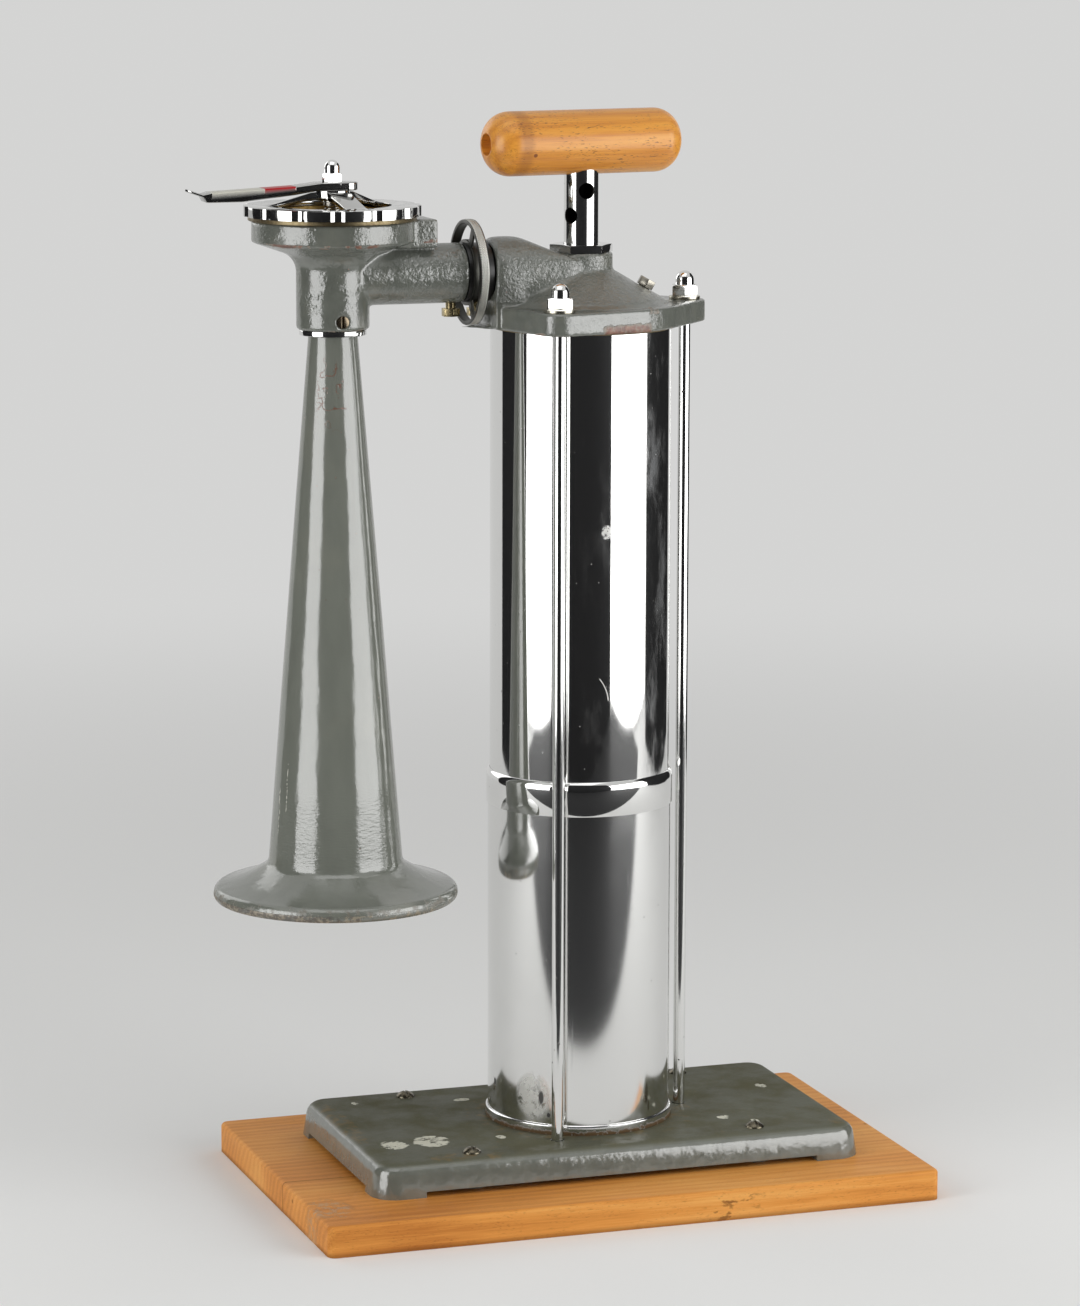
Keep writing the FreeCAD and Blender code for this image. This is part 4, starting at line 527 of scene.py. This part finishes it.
def wood(name, pale, middle, dark, turn, pores, coat, gloss, worn):
    """Varnished wood, grain along X turned about Z: fine streaks, slow drift and short dark pores."""
    f = Finish(name)
    ring_width = 4.5 * MM
    f.spot = f.across(turn=(0, 0, turn))
    drift = f.noise(70, f.across((0.25, 1, 1)), detail=4.0)
    warp = f.noise(50, f.across((0.2, 1, 1)), detail=2.0) * 0.022
    growth = ((f.axis("Y") + f.axis("Z") * 0.55 + warp) * (math.pi / ring_width)).sine()
    grain = f.noise(1.3, f.across((0.03, 1, 1)), detail=6.0, rough=0.65)
    pore = f.rise(f.noise(0.62, f.across((0.2, 1, 1)), detail=1.0), 0.61, 0.70) * pores
    pore = pore * f.rise(f.noise(12, f.across((0.4, 1, 1))), 0.38, 0.55)
    base = growth * 0.05 + drift * 0.75 + grain * 0.45 - 0.13
    hue = f.shaded(base, [(0.25, dark), (0.48, middle), (0.72, pale)])
    hue = f.mixed(pore * 0.75, hue, shade(dark, 0.3))
    mask, tint = worn(f)
    hue = f.mixed(mask, hue, tint)
    rough = 0.40 + grain * 0.12 + mask * 0.25
    relief = f.relief(grain * 0.4 - pore * 0.9 + growth * 0.05, 0.16)
    return f.done(Base_Color=hue, Roughness=rough, Normal=relief, Coat_Weight=coat, Coat_Roughness=0.2,
                  Specular_IOR_Level=gloss)


def board_wear(f):
    """Darker along the board's foot, knots, a seam near its left end and a grey scuff at its front left."""
    along, deep, height = f.axis("X"), f.axis("Y"), f.axis("Z")
    # darker towards the bottom few millimetres of the board
    low = f.rise(height, 4.5 * MM, 0.5 * MM) * 0.5
    nicks = f.rise(f.noise(9, f.across((0.35, 1, 1)), detail=6.0, rough=0.75), 0.66, 0.74) * 0.45
    knots = f.rise(f.cells(38), 0.055, 0.015) * 0.7
    lower = f.rise(height, PLATE_FOOT - 3 * MM, PLATE_FOOT - 5 * MM)
    bruise = f.rise(f.noise(4, f.across((0.5, 1, 1)), detail=5.0), 0.55, 0.66)
    bruise = bruise * f.band(along, 45 * MM, 80 * MM, 10 * MM) * lower
    seam = f.rise(abs(deep + 32 * MM + (along + 200 * MM) * 0.02), 0.7 * MM, 0.3 * MM)
    seam = seam * f.rise(along, -165 * MM, -175 * MM)
    scuff = f.oval(along, deep, (-213 * MM, -104 * MM), (16 * MM, 26 * MM))
    scuff = scuff * f.rise(f.noise(6, detail=6.0, rough=0.75), 0.46, 0.56)
    dark = low.most(nicks).most(knots).most(bruise * 0.7).most(seam * 0.7)
    tint = f.mixed(scuff, display(92, 52, 24), display(178, 160, 136))
    return dark.most(scuff * 0.55).held(), tint


def handle_wear(f):
    """A soft dark tone inside the handle's left end, a small knot and a few bruises."""
    along = f.axis("X")
    ring = f.band(along, -56 * MM, -47 * MM, 3 * MM) * 0.35
    knot = f.oval(along, f.axis("Z"), (-45.5 * MM, 721 * MM), (1.6 * MM, 1.4 * MM))
    knot = knot * f.rise(f.axis("Y"), 0.0, -10 * MM) * 0.9
    bruise = f.rise(f.cells(60), 0.05, 0.02) * 0.5
    return ring.most(knot).most(bruise), display(120, 60, 20)


def soft_black(name, colour, rough, grain=2.0, depth=0.08):
    """A dull dark surface with a fine skin."""
    f = Finish(name)
    dust = f.rise(f.noise(12, detail=6.0, rough=0.7), 0.5, 0.8)
    hue = f.mixed(dust * 0.25, colour, display(96, 92, 84))
    relief = f.relief(f.noise(grain, detail=4.0), depth)
    return f.done(Base_Color=hue, Roughness=(dust * 0.15 + rough).held(), Normal=relief)


# Shapes

def mesh_piece(name, points, faces, finish, body, stands_for=(), smooth_below=0.7):
    """A finished piece from arrays of points and faces, riding on a CAD body."""
    mesh = bpy.data.meshes.new(name)
    mesh.from_pydata(points.tolist(), [], faces.tolist())
    made = bpy.data.objects.new(name, mesh)
    bpy.context.scene.collection.objects.link(made)
    return finished(made, finish, body, stands_for, smooth_below)


def finished(made, finish, body, stands_for, smooth_below=0.6):
    """Gives a piece its material and shading, and ties it to its body and to the nodes that it stands for."""
    made.data.materials.clear()
    made.data.materials.append(finish)
    made.data.polygons.foreach_set("use_smooth", np.ones(len(made.data.polygons), bool))
    made.data.set_sharp_from_angle(angle=smooth_below)
    made.data.update()
    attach(made, body)
    if stands_for:
        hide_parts(*stands_for)
    return made


def grid_faces(rows, columns):
    """Quads between neighbouring points of a grid whose rows and columns both close on themselves."""
    row, column = np.meshgrid(np.arange(rows), np.arange(columns), indexing="ij")
    after_row, after_column = (row + 1) % rows, (column + 1) % columns
    corners = [row * columns + column, after_row * columns + column, after_row * columns + after_column,
               row * columns + after_column]
    return np.stack(corners, -1).reshape(-1, 4)


def merged_copy(node):
    """A loose copy of a CAD node with its doubles merged and its flat faces joined."""
    copy = frame["nodes"][node].copy()
    copy.data = copy.data.copy()
    copy.name = copy.data.name = node + "_dressed"
    copy.parent = None
    for key in list(copy.keys()):
        del copy[key]
    bpy.context.scene.collection.objects.link(copy)
    one_place, one_plane = 0.002 * MM, math.radians(0.6)
    work = bmesh.new()
    work.from_mesh(copy.data)
    bmesh.ops.remove_doubles(work, verts=work.verts, dist=one_place)
    bmesh.ops.dissolve_limit(work, angle_limit=one_plane, verts=work.verts, edges=work.edges)
    work.to_mesh(copy.data)
    work.free()
    for name in ("custom_normal", "sharp_edge", "sharp_face"):
        if name in copy.data.attributes:
            copy.data.attributes.remove(copy.data.attributes[name])
    return copy


def apply_modifiers(made):
    """The piece's mesh with its modifiers worked in."""
    bpy.context.view_layer.update()
    graph = bpy.context.evaluated_depsgraph_get()
    mesh = bpy.data.meshes.new_from_object(made.evaluated_get(graph))
    made.modifiers.clear()
    made.data = mesh


def softened(node, finish, width, segments=2):
    """A CAD node with its edges rolled over by width mm, as a polished or cast edge is."""
    made = merged_copy(node)
    bevel = made.modifiers.new("edges", "BEVEL")
    bevel.width, bevel.segments = width * MM, segments
    bevel.limit_method, bevel.angle_limit = "ANGLE", EDGE_ANGLE
    apply_modifiers(made)
    return finished(made, finish, frame["nodes"][node]["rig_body"], (node,))


def casting(node, finish, voxel, rounds, softer=None, more=0):
    """A CAD node as a casting: small even faces, rolled over, and more so where softer(points) says."""
    made = merged_copy(node)
    remesh = made.modifiers.new("even", "REMESH")
    remesh.mode, remesh.voxel_size = "VOXEL", voxel * MM
    apply_modifiers(made)
    mesh = made.data
    points, edges = np.empty(len(mesh.vertices) * 3), np.empty(len(mesh.edges) * 2, np.int32)
    mesh.vertices.foreach_get("co", points)
    mesh.edges.foreach_get("vertices", edges)
    points, edges = rolled(points.reshape(-1, 3), edges.reshape(-1, 2), rounds, 1.0), edges.reshape(-1, 2)
    if softer is not None:
        points = rolled(points, edges, more, softer(points)[:, None])
    mesh.vertices.foreach_set("co", points.ravel())
    return finished(made, finish, frame["nodes"][node]["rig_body"], (node,), math.pi)


def rolled(points, edges, rounds, share):
    """Each round moves every point towards its neighbours' mean: p + s (mean - p) / 2, with s the share."""
    ends, others = edges.ravel(), edges[:, ::-1].ravel()
    count = np.bincount(ends, minlength=len(points))[:, None]
    for _ in range(rounds):
        total = np.stack([np.bincount(ends, points[others, axis], len(points)) for axis in range(3)], -1)
        points = points + share * 0.5 * (total / count - points)
    return points


def smooth_step(value, low, high):
    """0 below low, 1 above high: t t (3 - 2 t) between them."""
    t = np.clip((value - low) / (high - low), 0, 1)
    return t * t * (3 - 2 * t)


def elbow_softness(points):
    """1 on the pump head's elbow, 0 on its flange, round its neck, in its bore and at its outer end."""
    x, y, z = points.T
    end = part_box("pump_head")[0].x
    above = smooth_step(z - FLANGE_FOOT, 19.5 * MM, 29 * MM)
    outside = smooth_step(np.hypot(x, y), 26 * MM, 36 * MM)
    return above * outside * smooth_step(x - end, 5 * MM, 13 * MM)


def turned_shell(name, profile, finish, body, stands_for, columns, centre, wobble):
    """A closed profile of (radius, height) points in mm carried round an upright axis. Wobble(angle, height),
    in mm, is added to the radius: x = (r + w) cos a, y = (r + w) sin a, z = h."""
    angle = np.linspace(0, 2 * np.pi, columns, endpoint=False)
    radius, height = profile[:, 0][:, None], profile[:, 1][:, None]
    radius = radius + wobble(angle[None, :], height)
    x, y = radius * np.cos(angle) * MM + centre, radius * np.sin(angle) * MM
    z = np.broadcast_to(height, x.shape) * MM
    points = np.stack([x, y, z], -1).reshape(-1, 3)
    return mesh_piece(name, points, grid_faces(len(profile), columns), finish, body, stands_for, 0.9)


def resampled(points, step):
    """Points spaced about step mm apart along straight runs through the given ones, which are all kept."""
    runs = []
    for start, end in zip(points[:-1], points[1:]):
        count = max(1, math.ceil(np.hypot(*(end - start)) / step))
        share = np.arange(count)[:, None] / count
        runs.append(start + (end - start) * share)
    return np.concatenate([*runs, points[-1:]])


def bend(start, end, radius, count):
    """Points on the arc from start to end. It bows to the right for a positive radius, else to the left."""
    start, end = np.array(start, float), np.array(end, float)
    middle, along = (start + end) / 2, end - start
    half = np.hypot(*along) / 2
    side = np.array([along[1], -along[0]]) / (2 * half) * np.sign(radius)
    centre = middle - side * math.sqrt(radius * radius - half * half)
    first, last = (math.atan2(*(p - centre)[::-1]) for p in (start, end))
    sweep = (last - first + math.pi) % (2 * math.pi) - math.pi
    angle = first + sweep * np.linspace(0, 1, count)
    return np.stack([centre[0] + abs(radius) * np.cos(angle), centre[1] + abs(radius) * np.sin(angle)], -1)


# Operators

class HornSizes(bpy.types.PropertyGroup):
    """Sizes and colours that a user would change."""

    enamel: FloatVectorProperty(name="Enamel", description="Colour of the grey enamel", subtype="COLOR",
                                size=4, default=display(104, 107, 100), min=0, max=1)
    voxel: FloatProperty(name="Casting detail", description="Face size of the castings, in mm",
                         default=1.15, min=0.5, max=4)
    knurls: IntProperty(name="Knurls", description="Diamonds round the lock wheel",
                        default=130, min=20, max=400)
    shine: FloatProperty(name="Soft boxes", description="Brightness of the soft boxes, where 1 is white",
                         default=3.2, min=0)
    backdrop: FloatProperty(name="Backdrop", description="Level of the pale background, where 1 is white",
                            default=0.66, min=0, max=1)


class HORN_OT_wood(bpy.types.Operator):
    """Varnishes the board and the handle"""

    bl_idname = "horn.wood"
    bl_label = "Wood"

    def execute(self, context):
        board = wood("board_wood", display(232, 174, 98), display(216, 146, 70), display(184, 114, 50),
                     turn=0.0, pores=0.35, coat=0.0, gloss=0.12, worn=board_wear)
        grip = wood("handle_wood", display(238, 176, 74), display(224, 150, 48), display(188, 108, 26),
                    turn=-HANDLE_YAW, pores=1.0, coat=0.45, gloss=0.5, worn=handle_wear)
        softened("wooden_board", board, 1.2, 3)
        softened("handle_grip", grip, 0.6, 3)
        return {"FINISHED"}


class HORN_OT_castings(bpy.types.Operator):
    """Makes the enamelled castings: base, pump head and horn head"""

    bl_idname = "horn.castings"
    bl_label = "Castings"

    def execute(self, context):
        sizes = context.scene.horn_sizes
        grey = tuple(sizes.enamel)
        head = enamel("head_enamel", grey, grain=2.3, depth=0.75, rugged=head_skin, chips=flange_chips)
        horn = enamel("horn_enamel", grey, grain=2.8, depth=0.55, rugged=horn_skin, chips=disc_chips)
        casting("pump_head", head, sizes.voxel, rounds=4, softer=elbow_softness, more=70)
        casting("horn_head", horn, sizes.voxel, rounds=4)
        softened("base_plate", base_enamel("base_enamel", display(108, 111, 103)), 1.2, 3)
        return {"FINISHED"}


class HORN_OT_plating(bpy.types.Operator):
    """Plates the tubes, rods, nuts and wheels"""

    bl_idname = "horn.plating"
    bl_label = "Plating"

    def execute(self, context):
        plated = plating("plating")
        dress({"upper_tube": plating("upper_plating", extra=upper_marks),
               "piston_rod": plating("piston_plating", extra=rod_marks),
               "lower_tube": plating("lower_plating", rough=0.10, extra=lower_marks),
               "tie_rods": plating("rod_plating", rough=0.07, pitted=1.0)})
        softened("tube_foot_ring", plating("ring_plating", rough=0.12, extra=lower_marks), 0.25)
        for node in ("tube_joint_collar", "tie_rod_nuts", "gland_nut", "lever_nut", "throat_ring"):
            softened(node, plated, 0.3)
        softened("tie_rod_washers", turned_steel("washer_steel", display(190, 186, 172), 0.3), 0.2)
        worn = plating("wheel_plating", (0.58, 0.58, 0.57, 1), rough=0.07, scuffs=1.0, pitted=0.6)
        softened("cover_wheel", worn, 0.7, 3)
        softened("lever", striped_lever("lever_stripes"), 0.7, 3)
        return {"FINISHED"}


class HORN_OT_lock_wheel(bpy.types.Operator):
    """Knurls the lock wheel and gives its faces a dark steel that paints in their shade"""

    bl_idname = "horn.lock_wheel"
    bl_label = "Lock wheel"

    def execute(self, context):
        knurl_band(*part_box("lock_wheel"), context.scene.horn_sizes.knurls,
                   turned_steel("knurled_steel", display(186, 186, 180), 0.0, 0.22))
        # painted shade and dark reflection: the wheel's faces get a far darker steel than its knurled rim
        softened("lock_wheel", turned_steel("wheel_steel", display(74, 74, 70), 0.2, 0.42), 0.3)
        return {"FINISHED"}


def knurl_band(low, high, count, finish):
    """Diamond knurling on the wheel's rim: radius = R + d (1 - (|sin(n a + k x)| + |sin(n a - k x)|) / 2),
    with d faded to nothing at both edges, closed by two rows just inside."""
    margin, proud, deep, tucked = 0.5 * MM, 0.02 * MM, 0.5 * MM, 1.2 * MM
    rows, columns, fading = 30, count * 8, 3
    row = np.arange(rows)[:, None]
    along = low.x + margin + (high.x - low.x - 2 * margin) * row / (rows - 1)
    angle = np.linspace(0, 2 * np.pi, columns, endpoint=False)[None, :]
    outer, centre_z = (high.z - low.z) / 2, (high.z + low.z) / 2
    turn, slant = count / 2 * angle, count / (2 * outer) * along
    wave = np.abs(np.sin(turn + slant)) + np.abs(np.sin(turn - slant))
    fade = np.minimum(1, np.minimum(row, rows - 1 - row) / fading)
    radius = outer + proud + deep * (1 - wave / 2) * fade
    inside = np.full((2, columns), outer - tucked)
    radius = np.concatenate([radius, inside])
    along = np.concatenate([along, along[[-1, 0]]])
    points = np.stack([np.broadcast_to(along, radius.shape), radius * np.cos(angle),
                       centre_z + radius * np.sin(angle)], -1)
    return mesh_piece("wheel_knurling", points.reshape(-1, 3), grid_faces(rows + 2, columns)[:, ::-1], finish,
                      "lock_wheel", (), 0.5)


class HORN_OT_trumpet(bpy.types.Operator):
    """Spins the trumpet and its worn rim"""

    bl_idname = "horn.trumpet"
    bl_label = "Trumpet"

    def execute(self, context):
        # Radius and height below the sheet's top, in mm: the outside from the mouth up, then the inside down
        edge, roll, knee, waist = (84.0, -384.3), (78.7, -379.1), (50.0, -366.5), (45.9, -360.5)
        outside = [bend(edge, roll, 5.46, 8), bend(roll, knee, -95, 26)[1:], bend(knee, waist, -8.3, 10)[1:]]
        cone = resampled(np.array([waist, (31.4, -181.0), (16.7, 0.0)]), 6.0)[1:]
        stem = np.array([(15.9, 0.0), (15.9, 11.45), (14.4, 11.45), (15.2, 0.0)])
        inner_waist, inner_knee, inner_roll = (44.4, -361.2), (49.2, -367.8), (78.7, -380.6)
        inner_cone = resampled(np.array([(15.2, 0.0), inner_waist]), 9.0)[1:]
        inside = [bend(inner_waist, inner_knee, 9.8, 8)[1:], bend(inner_knee, inner_roll, 96.5, 20)[1:],
                  bend(inner_roll, (82.5, -384.3), -4.0, 7)[1:]]
        profile = np.concatenate([*outside, cone, stem, inner_cone, *inside])
        profile[:, 1] += SHEET_TOP / MM
        grey = trumpet_enamel("trumpet_enamel", display(112, 115, 107))
        turned_shell("trumpet_spun", profile, grey, "horn", ("trumpet",), 240, HORN_X, hand_spun)
        softened("bell_rim", worn_rim("rim_paint", display(110, 112, 104)), 0.5, 3)
        return {"FINISHED"}


def hand_spun(angle, height):
    """Small unevenness of hand-spun sheet, in mm: three slow waves that fade towards the neck and the rim."""
    start, length, ends = 230, 370, 6
    along = (height - start) / length
    fade = np.clip(along * ends, 0, 1) * np.clip((1 - along) * ends, 0, 1)
    waves = (0.16 * np.sin(2 * angle + along * 4) + 0.06 * np.sin(3 * angle - along * 9 + 1)
             + 0.02 * np.sin(5 * angle + along * 19))
    return waves * fade


class HORN_OT_small_parts(bpy.types.Operator):
    """Finishes the bolts, rings, seals and inner pieces"""

    bl_idname = "horn.small_parts"
    bl_label = "Small parts"

    def execute(self, context):
        bolt = brass("bolt_brass", display(196, 180, 138), 0.24)
        plain = brass("plain_brass", display(190, 160, 100))
        steel = turned_steel("turned_steel", display(176, 172, 164))
        rubber = soft_black("black_rubber", display(30, 29, 28), 0.6, 1.2)
        fibre = soft_black("fibre_sheet", display(112, 98, 72), 0.8, 1.0)
        hide = soft_black("greased_leather", display(74, 46, 28), 0.45, 1.6, 0.2)
        for node in ("arm_bolt", "sleeve_bolt"):
            softened(node, bolt, 0.35, 2)
        softened("cap_ring", brass("ring_brass", display(126, 114, 88), 0.38, 0.9), 0.3)
        softened("base_screws", turned_steel("worn_screw", display(104, 98, 84)), 0.3, 2)
        softened("oil_plug", turned_steel("plug_steel", display(150, 146, 136), 0.3), 0.3)
        softened("neck_grub_screw", turned_steel("grub_steel", display(128, 116, 98)), 0.25)
        softened("swivel_sleeve", soft_black("black_satin", display(22, 22, 21), 0.34), 0.4)
        dress({"diaphragm": turned_steel("diaphragm_steel", display(120, 118, 112))})
        dress(dict.fromkeys(("tube_foot_gasket", "head_gasket", "diaphragm_gasket"), fibre))
        dress(dict.fromkeys(("tube_joint_seal", "swivel_seal", "bottom_buffer"), rubber))
        dress(dict.fromkeys(("gland_packing", "cup_leather"), hide))
        dress(dict.fromkeys(("piston_nut", "handle_pin", "pad_spring", "adjusting_spindle"), steel))
        dress(dict.fromkeys(("guide_bush", "piston_disc", "leather_retainer", "nozzle", "diaphragm_ring",
                             "pressure_pad"), plain))
        return {"FINISHED"}


def dress(finishes):
    """Gives CAD nodes their finishes."""
    for node, material in finishes.items():
        shown = frame["nodes"][node]
        shown.data.materials.clear()
        shown.data.materials.append(material)


class HORN_OT_stage(bpy.types.Operator):
    """Sets the floor, the soft boxes, the dark flags, the sky and the camera"""

    bl_idname = "horn.stage"
    bl_label = "Stage"

    def execute(self, context):
        level, shine = context.scene.horn_sizes.backdrop, context.scene.horn_sizes.shine
        floor_and_sky(level)
        soft_box("left_box", (-72.5, 1.75, 0.70), 1.10, 1.38, shine, 0.70)
        soft_box("right_box", (45.5, 1.75, 0.70), 1.70, 1.38, shine, 0.70)
        soft_box("top_box", (-30, 0.6, 2.3), 1.6, 1.6, shine * 0.25, 0.4)
        soft_box("back_right_box", (118, 2.2, 1.3), 1.2, 1.4, shine * 0.35, 0.4)
        soft_box("back_left_box", (208, 2.2, 1.3), 1.2, 1.4, shine * 0.35, 0.4)
        cloth = Finish("flag_cloth").done(Base_Color=(0.010, 0.010, 0.011, 1), Roughness=0.9)
        flag("front_flag", standing(-17.5, 1.5, 2.28, 2.0), cloth)
        flag("left_flag", standing(-113, 1.5, 1.24, 2.0), cloth)
        flag("right_flag", standing(101, 1.5, 1.62, 2.0), cloth)
        flag("floor_flag", lying(-13, 0.47, 1.6, 3.2), cloth)
        camera()
        return {"FINISHED"}


def compass(angle, distance, height=0.0):
    """A place round the object, in metres: 0 degrees is in front, at -Y, and 90 is at +X."""
    turn = math.radians(angle)
    return Vector((math.sin(turn) * distance, -math.cos(turn) * distance, height))


def soft_box(name, spot, wide, tall, shine, aim):
    """A rectangular lamp at (angle, distance, height) that looks at the tube's axis at a height.

    Its power is pi times its area times its brightness.
    """
    lamp = bpy.data.lights.new(name, "AREA")
    lamp.shape, lamp.size, lamp.size_y = "RECTANGLE", wide, tall
    lamp.energy = math.pi * wide * tall * shine
    made = bpy.data.objects.new(name, lamp)
    made.location = compass(*spot)
    made.rotation_euler = (Vector((0, 0, aim)) - made.location).to_track_quat("-Z", "Y").to_euler()
    bpy.context.scene.collection.objects.link(made)


def standing(angle, distance, wide, tall):
    """Corners of an upright board that faces the object."""
    middle, side = compass(angle, distance), compass(angle + 90, wide / 2)
    up = Vector((0, 0, tall))
    return [middle - side, middle + side, middle + side + up, middle - side + up]


def lying(angle, near, far, wide):
    """Corners of a sheet that lies on the floor, with one straight edge near the object."""
    side, lift = compass(angle + 90, wide / 2), Vector((0, 0, 1.5 * MM))
    start, end = compass(angle, near) + lift, compass(angle, far) + lift
    return [start - side, start + side, end + side, end - side]


def flag(name, corners, cloth):
    """A dark board or sheet beside the set that only mirror reflections see."""
    mesh = bpy.data.meshes.new(name)
    mesh.from_pydata([tuple(corner) for corner in corners], [], [(0, 1, 2, 3)])
    made = bpy.data.objects.new(name, mesh)
    bpy.context.scene.collection.objects.link(made)
    mesh.materials.append(cloth)
    made.visible_camera = made.visible_diffuse = made.visible_shadow = made.visible_transmission = False


def floor_and_sky(level):
    """A wide pale floor that keeps the object's shadow and turns into the even sky further out."""
    mesh = bpy.data.meshes.new("floor")
    size, paper_ends, sky_starts, fill = 12.0, 0.7, 2.6, 0.34
    mesh.from_pydata([(-size, -size, 0), (size, -size, 0), (size, size, 0), (-size, size, 0)], [],
                     [(0, 1, 2, 3)])
    floor = bpy.data.objects.new("floor", mesh)
    bpy.context.scene.collection.objects.link(floor)
    paper = Finish("floor_paper")
    far = paper.rise(paper.length(paper.spot), paper_ends, sky_starts)
    even = (level, level, level * 0.99, 1.0)
    hue = paper.mixed(far, (0.84, 0.84, 0.83, 1.0), BLACK)
    glow = paper.mixed(far * paper.looked_at(), BLACK, even)
    mesh.materials.append(paper.done(Base_Color=hue, Emission_Color=glow, Emission_Strength=1.0,
                                     Roughness=0.8, Specular_IOR_Level=0.0))
    sky = Finish("sky", bpy.data.worlds.new("sky"))
    bpy.context.scene.world = sky.material
    strength = sky.looked_at() * (level - fill) + fill
    back = sky.node("ShaderNodeBackground", {}, {"Color": (1.0, 1.0, 0.99, 1.0), "Strength": strength})
    sky.ends(back, "ShaderNodeOutputWorld")


def camera():
    """The photograph's view: where the camera stood, and its long lens."""
    lens = bpy.data.cameras.new("camera")
    lens.sensor_fit, lens.sensor_width, lens.sensor_height, lens.lens = "AUTO", 36.0, 36.0, 130.8
    lens.clip_start, lens.clip_end = 0.1, 60.0
    made = bpy.data.objects.new("camera", lens)
    turn, rise, roll = math.radians(-18.86), math.radians(9.83), math.radians(0.13)
    aside, up, distance = -0.02756, 0.37341, 3.3024
    back = Vector((math.sin(turn) * math.cos(rise), -math.cos(turn) * math.cos(rise), math.sin(rise)))
    right = Vector((math.cos(turn), math.sin(turn), 0))
    across = right * math.cos(roll) + back.cross(right) * math.sin(roll)
    made.matrix_world = Matrix((across, back.cross(across), back)).transposed().to_4x4()
    made.location = right * aside + Vector((0, 0, up)) + back * distance
    bpy.context.scene.collection.objects.link(made)
    bpy.context.scene.camera = made
    bpy.context.scene.view_settings.view_transform = "Standard"


class HORN_PT_panel(bpy.types.Panel):
    """Lists the steps that dress the fog horn"""

    bl_label = "Fog Horn"
    bl_idname = "HORN_PT_panel"
    bl_space_type = "VIEW_3D"
    bl_region_type = "UI"
    bl_category = "Fog Horn"

    def draw(self, context):
        for name in ("enamel", "voxel", "knurls", "shine", "backdrop"):
            self.layout.prop(context.scene.horn_sizes, name)
        for step in STEPS:
            self.layout.operator(step.bl_idname)


STEPS = (HORN_OT_stage, HORN_OT_wood, HORN_OT_castings, HORN_OT_plating, HORN_OT_lock_wheel, HORN_OT_trumpet,
         HORN_OT_small_parts)
CLASSES = (HornSizes, *STEPS, HORN_PT_panel)


def register():
    for kind in CLASSES:
        bpy.utils.register_class(kind)
    bpy.types.Scene.horn_sizes = PointerProperty(type=HornSizes)


def unregister():
    del bpy.types.Scene.horn_sizes
    for kind in reversed(CLASSES):
        bpy.utils.unregister_class(kind)


def main():
    register()
    for step in STEPS:
        group, name = step.bl_idname.split(".")
        getattr(getattr(bpy.ops, group), name)()


if __name__ == "__main__":
    main()
